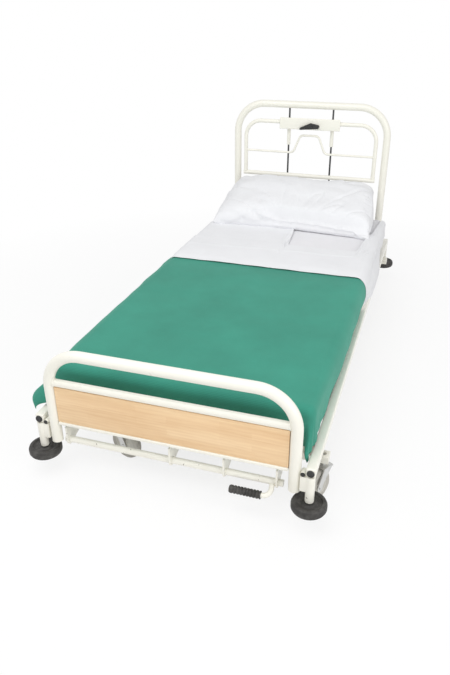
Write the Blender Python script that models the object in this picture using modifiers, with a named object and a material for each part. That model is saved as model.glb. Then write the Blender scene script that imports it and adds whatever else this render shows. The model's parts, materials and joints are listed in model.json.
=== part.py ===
"""Hospital bed on castors: hooped ends, lifting frame, sliding head frame and bedding.

Metres, +Z up. X runs across the bed, +Y towards the head, and the origin lies on the floor
under the middle of the bed. The bed stands at its lowest height.
"""
from math import atan2, cos, pi, radians, sin, sqrt

import bmesh
import bpy
from mathutils import Matrix, Vector

# Fits
GAP = 0.0003
RUNNING = 0.0005
WELD = 0.002

# Hoops at the two ends
HOOP_WIDTH = 0.900
HOOP_TUBE = 0.040
END_ROOM = 0.0875
HOOP_LEG_END = 0.135
FOOT_TOP = 0.515
FOOT_CORNER = 0.130
HEAD_TOP = 0.997
HEAD_CORNER = 0.160
TUBE_SIDES = 18
BEND_STEPS = 8

# Foot panel
PANEL_BASE = 0.223
PANEL_HEIGHT = 0.141
PANEL_THICK = 0.018
PANEL_ROUND = 0.001
MID_RAIL_TUBE = 0.028
TRIM_HEIGHT = 0.012
TRIM_DEPTH = 0.026
TRIM_ROUND = 0.003

# Side rails, corner posts and bumpers
RAIL_X = 0.483
RAIL_Z = 0.224
RAIL_SECTION = 0.032
RAIL_ROUND = 0.005
RAIL_END = 0.016
PLUG_LENGTH = 0.007
PLUG_DIAMETER = 0.025
POST_OUTSET = 0.008
POST_TUBE = 0.030
BRACKET_BASE = 0.148
BRACKET_DEPTH = 0.028
BUMPER_RADIUS = 0.059
BUMPER_BASE = 0.073
BUMPER_THICK = 0.034
BUMPER_SIDES = 24
BUMPER_ROUND = 0.006
BUMPER_SHOULDER = 0.008
BUMPER_DISH = 0.010
BUMPER_COLLAR = 0.006
BUMPER_RIM = 0.015
DISH_SLOPE = 0.003
SPIGOT = 0.016
NUT_ACROSS = 0.030
NUT_THICK = 0.010
THREAD_END = 0.002

# Mattress deck
DECK_TUBE = 0.025
DECK_SHEET = 0.003
DECK_HALF_WIDTH = 0.450
DECK_JOINT = 0.006
DECK_SEAT = 0.001
DECK_DROP = 0.001
DECK_TUBE_INSET = 0.0833
HEAD_TUBE_INSET = 0.350
VENT_RADIUS = 0.035
VENT_ROWS = 2
VENT_COLUMNS = 3

# Chassis and castors
CHASSIS_BASE = 0.150
CHASSIS_DEPTH = 0.030
CHASSIS_WIDTH = 0.040
CHASSIS_RAIL_X = 0.300
CHASSIS_ROUND = 0.004
CROSS_INSET = 0.1525
CROSS_HALF = 0.515
CASTOR_INSET = 0.018
CASTOR_INBOARD = 0.228
WHEEL_RADIUS = 0.0625
WHEEL_WIDTH = 0.032
HUB_RADIUS = 0.043
WHEEL_SIDES = 20
HUB_LIP = 0.003
HUB_RIM = 0.006
HUB_DISH = 0.010
HUB_BOSS = 0.010
BOSS_TAPER = 0.001
TYRE_CROWN = 0.002
TYRE_SHOULDER = 0.007
TYRE_FLAT = 0.011
TYRE_BEND = 0.006
TYRE_SIDE = 0.001
TYRE_SEAT = 0.002
TRAIL = 0.035
AXLE = 0.010
AXLE_END = 0.003
STEM = 0.016
STEM_REACH = 0.022
FORK_PLATE = 0.004
FORK_SIDE_GAP = 0.003
FORK_CROWN_GAP = 0.006
FORK_CROWN = 0.006
FORK_TOP_HALF = 0.020
FORK_EYE = 0.013
CASTOR_HEADING = {"foot_left": 75.0, "foot_right": -30.0, "head_left": 160.0, "head_right": 215.0}

# Lifting arms and hydraulic ram
ARM_LENGTH = 0.500
ARM_X = 0.250
ARM_THICK = 0.012
ARM_DEPTH = 0.026
ARM_ROUND = 0.002
TORQUE_TUBE = 0.028
PIVOT_PIN = 0.016
PIN_REACH = 0.030
LOWER_PIVOT_Z = 0.165
UPPER_PIVOT_Z = 0.197
FOOT_LIFT_INSET = 0.351
HEAD_LIFT_INSET = 0.0823
LIFT_PLATE_X = 0.271
LIFT_PLATE = 0.006
LIFT_TRAVEL = 48.0
HORN_LENGTH = 0.070
HORN_THICK = 0.010
HORN_DEPTH = 0.024
HORN_TIP = 0.010
HORN_PIN = 0.012
HORN_PIN_END = 0.002
CLEVIS_PLATE = 0.006
CLEVIS_RIM = 0.007
CLEVIS_BRIDGE = 0.012
ROD = 0.016
ROD_STROKE_ROOM = 0.250
ROD_INSIDE = 0.175
ROD_SHOWS = 0.2985
CYLINDER = 0.040
PUMP_INSET = 0.185
PUMP_WIDTH = 0.120
PUMP_LENGTH = 0.150
PUMP_HEIGHT = 0.080
PUMP_ROUND = 0.006
PUMP_FLANGE = (0.630, 0.060, 0.008)

# Foot pedal
PEDAL_BAR = 0.024
PEDAL_INSET = 0.0175
PEDAL_BAR_Z = 0.134
PEDAL_BAR_LEFT = -0.405
PEDAL_BAR_RIGHT = 0.392
HANGER_PLACES = (-0.392, 0.0, 0.192, 0.372)
HANGER_THICK = 0.006
HANGER_RIM = 0.006
HANGER_RISE = 0.060
HANGER_MARGIN = 0.005
PEDAL_ARM = 0.018
PEDAL_ARM_X = 0.356
PEDAL_DROP = 0.038
PEDAL_REACH = 0.035
PEDAL_BEND = 0.026
GRIP_LENGTH = 0.108
GRIP_RADIUS = 0.0140
GRIP_GROOVE = 0.0022
GRIP_RIBS = 9
GRIP_SIDES = 12
GRIP_START = 0.004
GRIP_CAP = 0.006

# Sliding head frame
GUIDE_ROD = 0.010
GUIDE_X = 0.124
GUIDE_SEAT_Z = 0.290
GUIDE_SEAT = 0.025
GUIDE_SEAT_ROUND = 0.003
SLEEVE = 0.020
SLEEVE_LENGTH = 0.149
SLEEVE_RISE = 0.010
SLIDE_TUBE = 0.022
SLIDE_WIDTH = 0.772
SLIDE_DROP = 0.101
SLIDE_CORNER = 0.090
SLIDE_OFFSET = 0.0185
SLIDE_HEIGHT = 0.311
LOWER_RAIL_TUBE = 0.024
LOWER_RAIL_END = 0.001
GRAB_BAR = 0.012
GRAB_DROP = 0.180
GRAB_ARCH_HEIGHT = 0.098
GRAB_ARCH_FOOT = 0.092
GRAB_ARCH_TOP = 0.052
GRAB_BEND = 0.028
PLATE_WIDTH = 0.344
PLATE_HEIGHT = 0.062
PLATE_DROP = 0.047
PLATE_SHEET = 0.003
PLATE_RETURN = 0.006
PLATE_ROUND = 0.006
LEVER_X = 0.012
LEVER_RISE = 0.019
LEVER_THICK = 0.015
LEVER_PIN = 0.008
LEVER_TIP = 0.066
LEVER_HEEL = 0.046
LEVER_CREST = 0.020
LEVER_CREST_X = -0.006
LEVER_HEEL_ROUND = 0.011
LEVER_HEEL_RISE = 0.002
LEVER_HEEL_INSET = 0.012
LEVER_TIP_ROUND = 0.006
LEVER_TIP_DROP = 0.012
LEVER_PIN_END = 0.003

# Bedding
MATTRESS_HALF_WIDTH = 0.462
MATTRESS_HALF_LENGTH = 1.000
MATTRESS_THICK = 0.147
MATTRESS_ROUND = 0.035
BLANKET_THICK = 0.0035
BLANKET_EASE = 0.006
BLANKET_HEAD_Y = 0.120
BLANKET_HEM = 0.248
BLANKET_FOOT_HEM = 0.250
BLANKET_FOLD = 0.006
BLANKET_FOLD_PITCH = 0.150
CORNER_FLARE = 0.045
CORNER_FLARE_LENGTH = 0.160
SHEET_THICK = 0.002
SHEET_FOOT_Y = 0.055
SHEET_HEAD_Y = 0.460
SHEET_SIDE_HEAD_Y = 0.985
SHEET_HEM = 0.205
SHEET_FLARE = 0.038
SHEET_FOLD = 0.004
SHEET_FOLD_PITCH = 0.170
SHEET_OUT_SHARE = 0.6
PILLOW_WIDTH = 0.870
PILLOW_DEPTH = 0.415
PILLOW_HEIGHT = 0.255
PILLOW_OVERHANG = 0.036
PILLOW_CUTS = 8
PILLOW_RIM = 0.004
RIM_SHARE = (0.30, 0.16)
CREST_SHARE = (0.80, 0.20)

# Places worked out from the sizes above
HOOP_Y = MATTRESS_HALF_LENGTH + END_ROOM
DECK_HALF_LENGTH = MATTRESS_HALF_LENGTH
LEG_X = (HOOP_WIDTH - HOOP_TUBE) / 2
POST_Y = HOOP_Y + POST_OUTSET
RAIL_HALF = POST_Y + RAIL_END / 2
RAIL_TOP = RAIL_Z + RAIL_SECTION / 2
RAIL_INNER = RAIL_X - RAIL_SECTION / 2
BETWEEN_LEGS = HOOP_WIDTH - 2 * HOOP_TUBE
PANEL_TOP = PANEL_BASE + PANEL_HEIGHT
DECK_TUBE_TOP = RAIL_TOP - DECK_DROP
DECK_TUBE_Z = DECK_TUBE_TOP - DECK_TUBE / 2
DECK_TOP = DECK_TUBE_TOP - DECK_SEAT + DECK_SHEET
MATTRESS_BASE = DECK_TOP + GAP
MATTRESS_TOP = MATTRESS_BASE + MATTRESS_THICK
BLANKET_BASE = MATTRESS_TOP + GAP
CHASSIS_Z = CHASSIS_BASE + CHASSIS_DEPTH / 2
CROSS_Y = HOOP_Y - CROSS_INSET
CROSS_INNER = CROSS_Y - CHASSIS_WIDTH / 2
RAIL_FACE = CHASSIS_RAIL_X - CHASSIS_WIDTH / 2
ARM_RISE = atan2(UPPER_PIVOT_Z - LOWER_PIVOT_Z,
                 sqrt(ARM_LENGTH ** 2 - (UPPER_PIVOT_Z - LOWER_PIVOT_Z) ** 2))
ARM_RUN = ARM_LENGTH * cos(ARM_RISE)
DECK_EDGE = DECK_HALF_LENGTH / 3
UPPER_PIVOTS = (FOOT_LIFT_INSET - DECK_HALF_LENGTH, DECK_EDGE - HEAD_LIFT_INSET)
FOOT_PIVOT_Y = UPPER_PIVOTS[0] + ARM_RUN
HEAD_PIVOT_Y = UPPER_PIVOTS[1] + ARM_RUN
DECK_TUBE_Y = (-DECK_HALF_LENGTH + DECK_TUBE, UPPER_PIVOTS[0], DECK_TUBE_INSET - DECK_EDGE,
               UPPER_PIVOTS[1], DECK_HALF_LENGTH - HEAD_TUBE_INSET, DECK_HALF_LENGTH - DECK_TUBE)
HORN_START = radians(LIFT_TRAVEL / 2)
HORN_Y = FOOT_PIVOT_Y + HORN_LENGTH * sin(HORN_START)
HORN_Z = LOWER_PIVOT_Z - HORN_LENGTH * cos(HORN_START)
HORN_SAG = HORN_LENGTH * (1 - cos(HORN_START))
CYLINDER_MOUTH = HORN_Y - ROD_SHOWS
CYLINDER_END = PUMP_INSET - CROSS_Y
CASTOR_REACH = CROSS_HALF - CASTOR_INSET
CASTOR_INNER = CASTOR_REACH - CASTOR_INBOARD
CASTOR_X = {"foot_left": -CASTOR_INNER, "foot_right": CASTOR_REACH,
            "head_left": -CASTOR_INNER, "head_right": CASTOR_INNER}
PEDAL_BAR_Y = PEDAL_INSET - HOOP_Y
PILLOW_BACK_Y = MATTRESS_HALF_LENGTH + PILLOW_OVERHANG
SLIDE_TOP = HEAD_TOP - SLIDE_DROP
SLEEVE_TOP = SLIDE_TOP + SLEEVE_RISE
SLEEVE_BASE = SLEEVE_TOP - SLEEVE_LENGTH
LOWER_RAIL_Z = SLIDE_TOP - SLIDE_HEIGHT
GRAB_BAR_Z = SLIDE_TOP - GRAB_DROP
PLATE_BASE = SLIDE_TOP - PLATE_DROP
LEVER_Z = PLATE_BASE + LEVER_RISE
SLIDE_Y = HOOP_Y - SLIDE_OFFSET
SLIDE_LEG_X = (SLIDE_WIDTH - SLIDE_TUBE) / 2
PLATE_BACK_Y = SLIDE_Y - SLIDE_TUBE / 2 - GAP
PLATE_FRONT_Y = PLATE_BACK_Y - PLATE_SHEET - PLATE_RETURN
CORNERS = {"foot_left": (-1, -1), "foot_right": (1, -1), "head_left": (-1, 1), "head_right": (1, 1)}

for old in list(bpy.data.objects):
    bpy.data.objects.remove(old, do_unlink=True)

BED = bpy.data.collections.new("hospital_bed")
CUTTERS = bpy.data.collections.new("hospital_bed_cutters")
bpy.context.scene.collection.children.link(BED)
bpy.context.scene.collection.children.link(CUTTERS)


def finish(name, colour, roughness, metallic=0.0):
    """A plain surface with the part's colour."""
    material = bpy.data.materials.new(name)
    material.use_nodes = True
    shader = material.node_tree.nodes["Principled BSDF"]
    shader.inputs["Base Color"].default_value = (*colour, 1.0)
    shader.inputs["Roughness"].default_value = roughness
    shader.inputs["Metallic"].default_value = metallic
    return material


CREAM = finish("cream_enamel", (0.86, 0.84, 0.77), 0.35)
WOOD = finish("beech_laminate", (0.72, 0.50, 0.27), 0.45)
RUBBER = finish("black_rubber", (0.03, 0.03, 0.03), 0.75)
PLASTIC = finish("black_plastic", (0.02, 0.02, 0.02), 0.45)
TYRE = finish("grey_tyre", (0.42, 0.42, 0.40), 0.70)
HUB = finish("grey_hub", (0.60, 0.60, 0.57), 0.50)
STEEL = finish("bright_steel", (0.55, 0.55, 0.55), 0.30, 1.0)
LINEN = finish("white_cotton", (0.88, 0.88, 0.90), 0.90)
TICKING = finish("mattress_cover", (0.80, 0.80, 0.82), 0.85)
GREEN = finish("green_blanket", (0.04, 0.30, 0.24), 0.95)


def add(name, mesh, material, parent=None, location=(0, 0, 0)):
    """Put a mesh in the bed's collection as one named piece."""
    mesh.name = name
    piece = bpy.data.objects.new(name, mesh)
    piece.location = location
    piece.parent = parent
    mesh.materials.clear()
    mesh.materials.append(material)
    BED.objects.link(piece)
    return piece


def tool(mesh):
    """A hidden shape that cuts or joins a piece."""
    helper = bpy.data.objects.new("tool", mesh)
    helper.hide_render = True
    helper.display_type = "WIRE"
    CUTTERS.objects.link(helper)
    return helper


def boolean(piece, operation, mesh):
    """Join a mesh to a piece or cut it away, in the piece's own frame."""
    helper = tool(mesh)
    helper.parent = piece
    change = piece.modifiers.new(operation.lower(), "BOOLEAN")
    change.operation = operation
    change.object = helper
    return piece


def smooth(mesh, angle=35.0):
    """Shade a round mesh smooth but for its sharp edges."""
    mesh.shade_smooth()
    mesh.set_sharp_from_angle(angle=radians(angle))
    return mesh


def from_bmesh(shape):
    """A mesh datablock from a bmesh, with the bmesh freed."""
    bmesh.ops.recalc_face_normals(shape, faces=shape.faces)
    mesh = bpy.data.meshes.new("shape")
    shape.to_mesh(mesh)
    shape.free()
    return mesh


def block(size, centre=(0, 0, 0), rounding=0.0):
    """A box, with all its edges rounded where asked."""
    shape = bmesh.new()
    bmesh.ops.create_cube(shape, size=1.0)
    bmesh.ops.scale(shape, vec=size, verts=shape.verts)
    if rounding:
        bmesh.ops.bevel(shape, geom=shape.edges, offset=rounding, offset_type="OFFSET", segments=2,
                        profile=0.5, affect="EDGES")
    bmesh.ops.translate(shape, vec=centre, verts=shape.verts)
    return from_bmesh(shape)


def bar(length, section, centre=(0, 0, 0), axis="X", rounding=0.0):
    """A straight bar of rectangular tube with rounded long edges."""
    shape = bmesh.new()
    bmesh.ops.create_cube(shape, size=1.0)
    bmesh.ops.scale(shape, vec=(length, *section), verts=shape.verts)
    if rounding:
        long_edges = [edge for edge in shape.edges
                      if abs((edge.verts[0].co - edge.verts[1].co).x) > length / 2]
        bmesh.ops.bevel(shape, geom=long_edges, offset=rounding, offset_type="OFFSET", segments=3,
                        profile=0.5, affect="EDGES")
    if axis == "Y":
        bmesh.ops.rotate(shape, cent=(0, 0, 0), matrix=Matrix.Rotation(pi / 2, 3, "Z"), verts=shape.verts)
    bmesh.ops.translate(shape, vec=centre, verts=shape.verts)
    return smooth(from_bmesh(shape))


UPRIGHT = Matrix.Rotation(pi / 2, 4, "Z") @ Matrix.Rotation(pi / 2, 4, "X")
TURN = {"X": Matrix.Rotation(pi / 2, 3, "Y"), "Y": Matrix.Rotation(-pi / 2, 3, "X"),
        "Z": Matrix.Identity(3)}


def cylinder(diameter, length, centre=(0, 0, 0), axis="Z", sides=16):
    """A round bar centred on a point."""
    shape = bmesh.new()
    bmesh.ops.create_cone(shape, cap_ends=True, segments=sides, radius1=diameter / 2, radius2=diameter / 2,
                          depth=length)
    bmesh.ops.rotate(shape, cent=(0, 0, 0), matrix=TURN[axis], verts=shape.verts)
    bmesh.ops.translate(shape, vec=centre, verts=shape.verts)
    return smooth(from_bmesh(shape))


def arc_path(points, radius, steps=BEND_STEPS):
    """The points of a path with every inner corner bent to an arc."""
    path = [Vector(points[0])]
    for before, corner, after in zip(points, points[1:], points[2:]):
        corner = Vector(corner)
        into = (Vector(before) - corner).normalized()
        away = (Vector(after) - corner).normalized()
        half = into.angle(away) / 2
        centre = corner + (into + away).normalized() * (radius / sin(half))
        start = corner + into * (radius / (sin(half) / cos(half))) - centre
        axis = start.cross(-into)
        sweep = pi - 2 * half
        for step in range(steps + 1):
            path.append(centre + Matrix.Rotation(sweep * step / steps, 3, axis) @ start)
    path.append(Vector(points[-1]))
    return path


def mesh_of_curve(curve):
    """The closed mesh of a bevelled or extruded curve."""
    holder = bpy.data.objects.new("curve", curve)
    CUTTERS.objects.link(holder)
    view = bpy.context.view_layer
    view.update()
    mesh = bpy.data.meshes.new_from_object(holder.evaluated_get(view.depsgraph))
    bpy.data.objects.remove(holder)
    shape = bmesh.new()
    shape.from_mesh(mesh)
    bmesh.ops.remove_doubles(shape, verts=shape.verts, dist=0.00001)
    bpy.data.meshes.remove(mesh)
    return smooth(from_bmesh(shape))


def tube(path, diameter, sides=TUBE_SIDES):
    """A round tube with closed ends along a path."""
    curve = bpy.data.curves.new("tube", "CURVE")
    curve.dimensions = "3D"
    curve.bevel_depth = diameter / 2
    curve.bevel_resolution = (sides - 4) // 2
    curve.use_fill_caps = True
    spline = curve.splines.new("POLY")
    spline.points.add(len(path) - 1)
    for point, place in zip(spline.points, path):
        point.co = (*place, 1.0)
    return mesh_of_curve(curve)


def plate(outlines, thickness):
    """A flat plate in its XY plane, its first outline the edge and the others its holes."""
    curve = bpy.data.curves.new("plate", "CURVE")
    curve.dimensions = "2D"
    curve.fill_mode = "BOTH"
    curve.extrude = thickness / 2
    for outline in outlines:
        spline = curve.splines.new("POLY")
        spline.points.add(len(outline) - 1)
        for point, place in zip(spline.points, outline):
            point.co = (*place, 0.0, 1.0)
        spline.use_cyclic_u = True
    return mesh_of_curve(curve)


def ring(centre, radius, start=0.0, end=360.0, steps=16):
    """Points along an arc in the plane, the end left off a full circle."""
    count = steps if end - start == 360.0 else steps + 1
    angles = [radians(start + (end - start) * step / steps) for step in range(count)]
    return [(centre[0] + radius * cos(angle), centre[1] + radius * sin(angle)) for angle in angles]


def turned(name, profile, material, sides, parent=None, location=(0, 0, 0), axis="Z"):
    """A ring turned from a closed profile of radius and height, running down its outer side."""
    mesh = bpy.data.meshes.new(name)
    points = [(radius, 0.0, height) for radius, height in profile]
    mesh.from_pydata(points, [(i, (i + 1) % len(points)) for i in range(len(points))], [])
    piece = add(name, mesh, material, parent, location)
    piece.rotation_euler = TURN[axis].to_euler()
    screw = piece.modifiers.new("turn", "SCREW")
    screw.steps = sides
    screw.render_steps = sides
    screw.use_merge_vertices = True
    screw.merge_threshold = 0.00001
    screw.use_smooth_shade = True
    return piece


def hoop(y, top, corner, diameter=HOOP_TUBE):
    """A bed end: one tube bent into an upside-down U."""
    crown = top - HOOP_TUBE / 2
    corners = [(-LEG_X, y, HOOP_LEG_END), (-LEG_X, y, crown), (LEG_X, y, crown), (LEG_X, y, HOOP_LEG_END)]
    return tube(arc_path(corners, corner), diameter)


def foot_end():
    """Foot hoop with its laminate panel, the rail above it and the trim below."""
    add("foot_hoop", hoop(-HOOP_Y, FOOT_TOP, FOOT_CORNER), CREAM)
    rail_z = PANEL_TOP + GAP + MID_RAIL_TUBE / 2
    rail = add("foot_mid_rail", cylinder(MID_RAIL_TUBE, 2 * LEG_X, axis="X", sides=TUBE_SIDES), CREAM,
               location=(0, -HOOP_Y, rail_z))
    clearance = hoop(-HOOP_Y, FOOT_TOP, FOOT_CORNER, HOOP_TUBE + 2 * GAP)
    clearance.transform(Matrix.Translation((0, HOOP_Y, -rail_z)))
    boolean(rail, "DIFFERENCE", clearance)
    length = BETWEEN_LEGS - 2 * GAP
    middle = PANEL_BASE + PANEL_HEIGHT / 2
    add("foot_panel", block((length, PANEL_THICK, PANEL_HEIGHT), rounding=PANEL_ROUND), WOOD,
        location=(0, -HOOP_Y, middle))
    add("panel_trim", bar(length, (TRIM_DEPTH, TRIM_HEIGHT), rounding=TRIM_ROUND), CREAM,
        location=(0, -HOOP_Y, PANEL_BASE - GAP - TRIM_HEIGHT / 2))


def corner_posts():
    """A post at each corner, its bumper roller and the bracket that ties it to the hoop."""
    top = RAIL_Z - RAIL_SECTION / 2 - GAP
    base = BUMPER_BASE + BUMPER_THICK + GAP
    spigot_top = base + WELD
    spigot_base = BUMPER_BASE - GAP - NUT_THICK - THREAD_END
    bore = SPIGOT / 2 + RUNNING
    floor = BUMPER_THICK - BUMPER_DISH
    edge = BUMPER_RADIUS - BUMPER_ROUND
    collar = POST_TUBE / 2 + BUMPER_COLLAR
    rim = BUMPER_RADIUS - BUMPER_RIM
    profile = [(edge, BUMPER_THICK), (BUMPER_RADIUS, BUMPER_THICK - BUMPER_SHOULDER),
               (BUMPER_RADIUS, BUMPER_SHOULDER), (edge, 0.0), (bore, 0.0), (bore, BUMPER_THICK),
               (collar, BUMPER_THICK), (collar + DISH_SLOPE, floor), (rim - DISH_SLOPE, floor),
               (rim, BUMPER_THICK)]
    near = LEG_X + HOOP_TUBE / 2 + GAP
    for corner, (across, along) in CORNERS.items():
        x = across * RAIL_X
        y = along * POST_Y
        post = add("corner_post_" + corner, cylinder(POST_TUBE, top - base, sides=TUBE_SIDES), CREAM,
                   location=(x, y, (top + base) / 2))
        stub_z = (spigot_top + spigot_base) / 2 - (top + base) / 2
        boolean(post, "UNION", cylinder(SPIGOT, spigot_top - spigot_base, (0, 0, stub_z)))
        turned("bumper_" + corner, profile, RUBBER, BUMPER_SIDES, location=(x, y, BUMPER_BASE))
        nut = add("bumper_nut_" + corner, cylinder(NUT_ACROSS, NUT_THICK, sides=6), STEEL,
                  location=(x, y, BUMPER_BASE - GAP - NUT_THICK / 2))
        boolean(nut, "DIFFERENCE", cylinder(SPIGOT + 2 * GAP, 2 * NUT_THICK))
        bracket_top = top - WELD
        size = (RAIL_X - near, BRACKET_DEPTH, bracket_top - BRACKET_BASE)
        bracket_z = (bracket_top + BRACKET_BASE) / 2 - (top + base) / 2
        bracket = block(size, (-across * (RAIL_X - near) / 2, -along * POST_OUTSET / 2, bracket_z))
        boolean(post, "UNION", bracket)


def side_rails():
    """The two long rails of the frame and the plugs in their ends."""
    for side, label in ((-1, "left"), (1, "right")):
        section = (RAIL_SECTION, RAIL_SECTION)
        add("side_rail_" + label, bar(2 * RAIL_HALF, section, axis="Y", rounding=RAIL_ROUND), CREAM,
            location=(side * RAIL_X, 0, RAIL_Z))
        for end, end_name in ((-1, "foot"), (1, "head")):
            plug = cylinder(PLUG_DIAMETER, PLUG_LENGTH, axis="Y")
            add("rail_plug_%s_%s" % (end_name, label), plug, PLASTIC,
                location=(side * RAIL_X, end * (RAIL_HALF + GAP + PLUG_LENGTH / 2), RAIL_Z))


def deck():
    """Three vented sheets that carry the mattress, each on two cross tubes welded under it."""
    length = 2 * DECK_HALF_LENGTH / 3 - DECK_JOINT
    half_x = DECK_HALF_WIDTH
    half_y = length / 2
    for index, label in enumerate(("foot", "middle", "head")):
        outlines = [[(-half_x, -half_y), (half_x, -half_y), (half_x, half_y), (-half_x, half_y)]]
        for column in range(VENT_COLUMNS):
            for row in range(VENT_ROWS):
                x = 2 * half_x * ((column + 0.5) / VENT_COLUMNS - 0.5)
                y = length * ((row + 0.5) / VENT_ROWS - 0.5)
                outlines.append(ring((x, y), VENT_RADIUS, steps=14))
        middle = (index - 1) * 2 * DECK_HALF_LENGTH / 3
        height = DECK_TOP - DECK_SHEET / 2
        sheet = add("deck_section_" + label, plate(outlines, DECK_SHEET), CREAM,
                    location=(0, middle, height))
        for y in DECK_TUBE_Y[2 * index:2 * index + 2]:
            size = (2 * (RAIL_INNER - GAP), DECK_TUBE, DECK_TUBE)
            boolean(sheet, "UNION", block(size, (0, y - middle, DECK_TUBE_Z - height)))
            if y in UPPER_PIVOTS:
                lift_brackets(sheet, y - middle, height)


def lift_brackets(sheet, y, height):
    """Two hangers under a deck tube with the pins that carry the frame on its arms."""
    top = DECK_TUBE_Z - DECK_TUBE / 2 + WELD - height
    pivot = UPPER_PIVOT_Z - height
    base = pivot - PIVOT_PIN
    reach = PIN_REACH + LIFT_PLATE / 2
    for side in (-1, 1):
        x = side * (LIFT_PLATE_X + LIFT_PLATE / 2)
        size = (LIFT_PLATE, 1.5 * PIVOT_PIN, top - base)
        boolean(sheet, "UNION", block(size, (x, y, (top + base) / 2)))
        boolean(sheet, "UNION", cylinder(PIVOT_PIN, reach, (x - side * reach / 2, y, pivot), "X"))


def chassis():
    """Two long rails with pivot pins, between two cross beams bored for the castor stems."""
    for side, label in ((-1, "left"), (1, "right")):
        section = (CHASSIS_WIDTH, CHASSIS_DEPTH)
        length = 2 * (CROSS_INNER - GAP)
        rail = add("chassis_rail_" + label, bar(length, section, axis="Y", rounding=CHASSIS_ROUND), CREAM,
                   location=(side * CHASSIS_RAIL_X, 0, CHASSIS_Z))
        for y in (FOOT_PIVOT_Y, HEAD_PIVOT_Y):
            reach = PIN_REACH + CHASSIS_WIDTH / 2
            pin = cylinder(PIVOT_PIN, reach, (-side * reach / 2, y, LOWER_PIVOT_Z - CHASSIS_Z), "X")
            boolean(rail, "UNION", pin)
    for along, label in ((-1, "foot"), (1, "head")):
        section = (CHASSIS_WIDTH, CHASSIS_DEPTH)
        beam = add("chassis_beam_" + label, bar(2 * CROSS_HALF, section, rounding=CHASSIS_ROUND), CREAM,
                   location=(0, along * CROSS_Y, CHASSIS_Z))
        if label == "foot":
            pedal_hangers(beam)
        for corner, x in CASTOR_X.items():
            if corner.startswith(label):
                hole = cylinder(STEM + 2 * RUNNING, 2 * CHASSIS_DEPTH, (x, 0, 0))
                boolean(beam, "DIFFERENCE", hole)


def pedal_hangers(beam):
    """Four plates welded to the foot beam, bored for the pedal bar."""
    rim = PEDAL_BAR / 2 + RUNNING + HANGER_RIM
    hole = ring((0, 0), PEDAL_BAR / 2 + RUNNING, steps=20)
    tail = -CROSS_Y - CHASSIS_WIDTH / 2 + WELD - PEDAL_BAR_Y
    low = CHASSIS_BASE - PEDAL_BAR_Z + HANGER_MARGIN
    high = low + CHASSIS_DEPTH - 2 * HANGER_MARGIN
    outline = [(tail, low), (tail, high), (rim / 2, HANGER_RISE), (-rim, HANGER_RISE)]
    outline += ring((0, 0), rim, 180.0, 285.0, 8)
    place = Vector((0, PEDAL_BAR_Y + CROSS_Y, PEDAL_BAR_Z - CHASSIS_Z))
    for x in HANGER_PLACES:
        hanger = plate([outline, hole], HANGER_THICK)
        hanger.transform(Matrix.Translation(place + Vector((x, 0, 0))) @ UPRIGHT)
        boolean(beam, "UNION", hanger)


def fork_cheek_outline():
    """The cheek of a castor fork, in its own plane of length and height."""
    crown = WHEEL_RADIUS * 2 + FORK_CROWN_GAP + FORK_CROWN / 2
    eye = ring((-TRAIL, WHEEL_RADIUS), FORK_EYE, 150.0, 390.0, 8)
    return [(FORK_TOP_HALF, crown), (-FORK_TOP_HALF, crown)] + eye


def castors():
    """Four swivelling castors: fork with stem and axle, hub and tyre."""
    crown = WHEEL_RADIUS * 2 + FORK_CROWN_GAP
    cheek_x = WHEEL_WIDTH / 2 + FORK_SIDE_GAP + FORK_PLATE / 2
    outer = 2 * cheek_x + FORK_PLATE
    hub_bore = AXLE / 2 + RUNNING
    half = WHEEL_WIDTH / 2
    lip = half - HUB_LIP
    dish = half - HUB_DISH
    taper = HUB_BOSS - BOSS_TAPER
    hub_profile = [(HUB_RADIUS, lip), (HUB_RADIUS, -lip), (HUB_RADIUS - HUB_RIM, -lip),
                   (HUB_RADIUS - HUB_DISH, -dish), (HUB_BOSS, -dish), (taper, -half),
                   (hub_bore, -half), (hub_bore, half), (taper, half), (HUB_BOSS, dish),
                   (HUB_RADIUS - HUB_DISH, dish), (HUB_RADIUS - HUB_RIM, lip)]
    seat = HUB_RADIUS + GAP
    shoulder = WHEEL_RADIUS - TYRE_SHOULDER
    crown_edge = WHEEL_RADIUS - TYRE_CROWN
    tyre_profile = [(shoulder, half - TYRE_SIDE), (crown_edge, half - TYRE_BEND),
                    (WHEEL_RADIUS, half - TYRE_FLAT), (WHEEL_RADIUS, TYRE_FLAT - half),
                    (crown_edge, TYRE_BEND - half), (shoulder, TYRE_SIDE - half),
                    (seat, TYRE_SEAT - half), (seat, half - TYRE_SEAT)]
    for corner, x in CASTOR_X.items():
        swivel = bpy.data.objects.new("castor_swivel_" + corner, None)
        swivel.location = (x, CORNERS[corner][1] * CROSS_Y, 0)
        swivel.rotation_euler = (0, 0, radians(CASTOR_HEADING[corner]))
        BED.objects.link(swivel)
        size = (outer + WELD, 2 * (FORK_TOP_HALF + WELD), FORK_CROWN)
        fork = add("castor_fork_" + corner, block(size, (0, 0, crown + FORK_CROWN / 2)), STEEL, swivel)
        for side in (-1, 1):
            cheek = plate([fork_cheek_outline()], FORK_PLATE)
            cheek.transform(Matrix.Translation((side * cheek_x, 0, 0)) @ UPRIGHT)
            boolean(fork, "UNION", cheek)
        stem_base = crown + FORK_CROWN / 2
        stem_top = CHASSIS_BASE + STEM_REACH
        boolean(fork, "UNION", cylinder(STEM, stem_top - stem_base, (0, 0, (stem_top + stem_base) / 2)))
        boolean(fork, "UNION", cylinder(AXLE, outer + 2 * AXLE_END, (0, -TRAIL, WHEEL_RADIUS), "X"))
        axle = (0, -TRAIL, WHEEL_RADIUS)
        turned("wheel_hub_" + corner, hub_profile, HUB, WHEEL_SIDES, swivel, axle, "X")
        turned("wheel_tyre_" + corner, tyre_profile, TYRE, WHEEL_SIDES, swivel, axle, "X")


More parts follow.
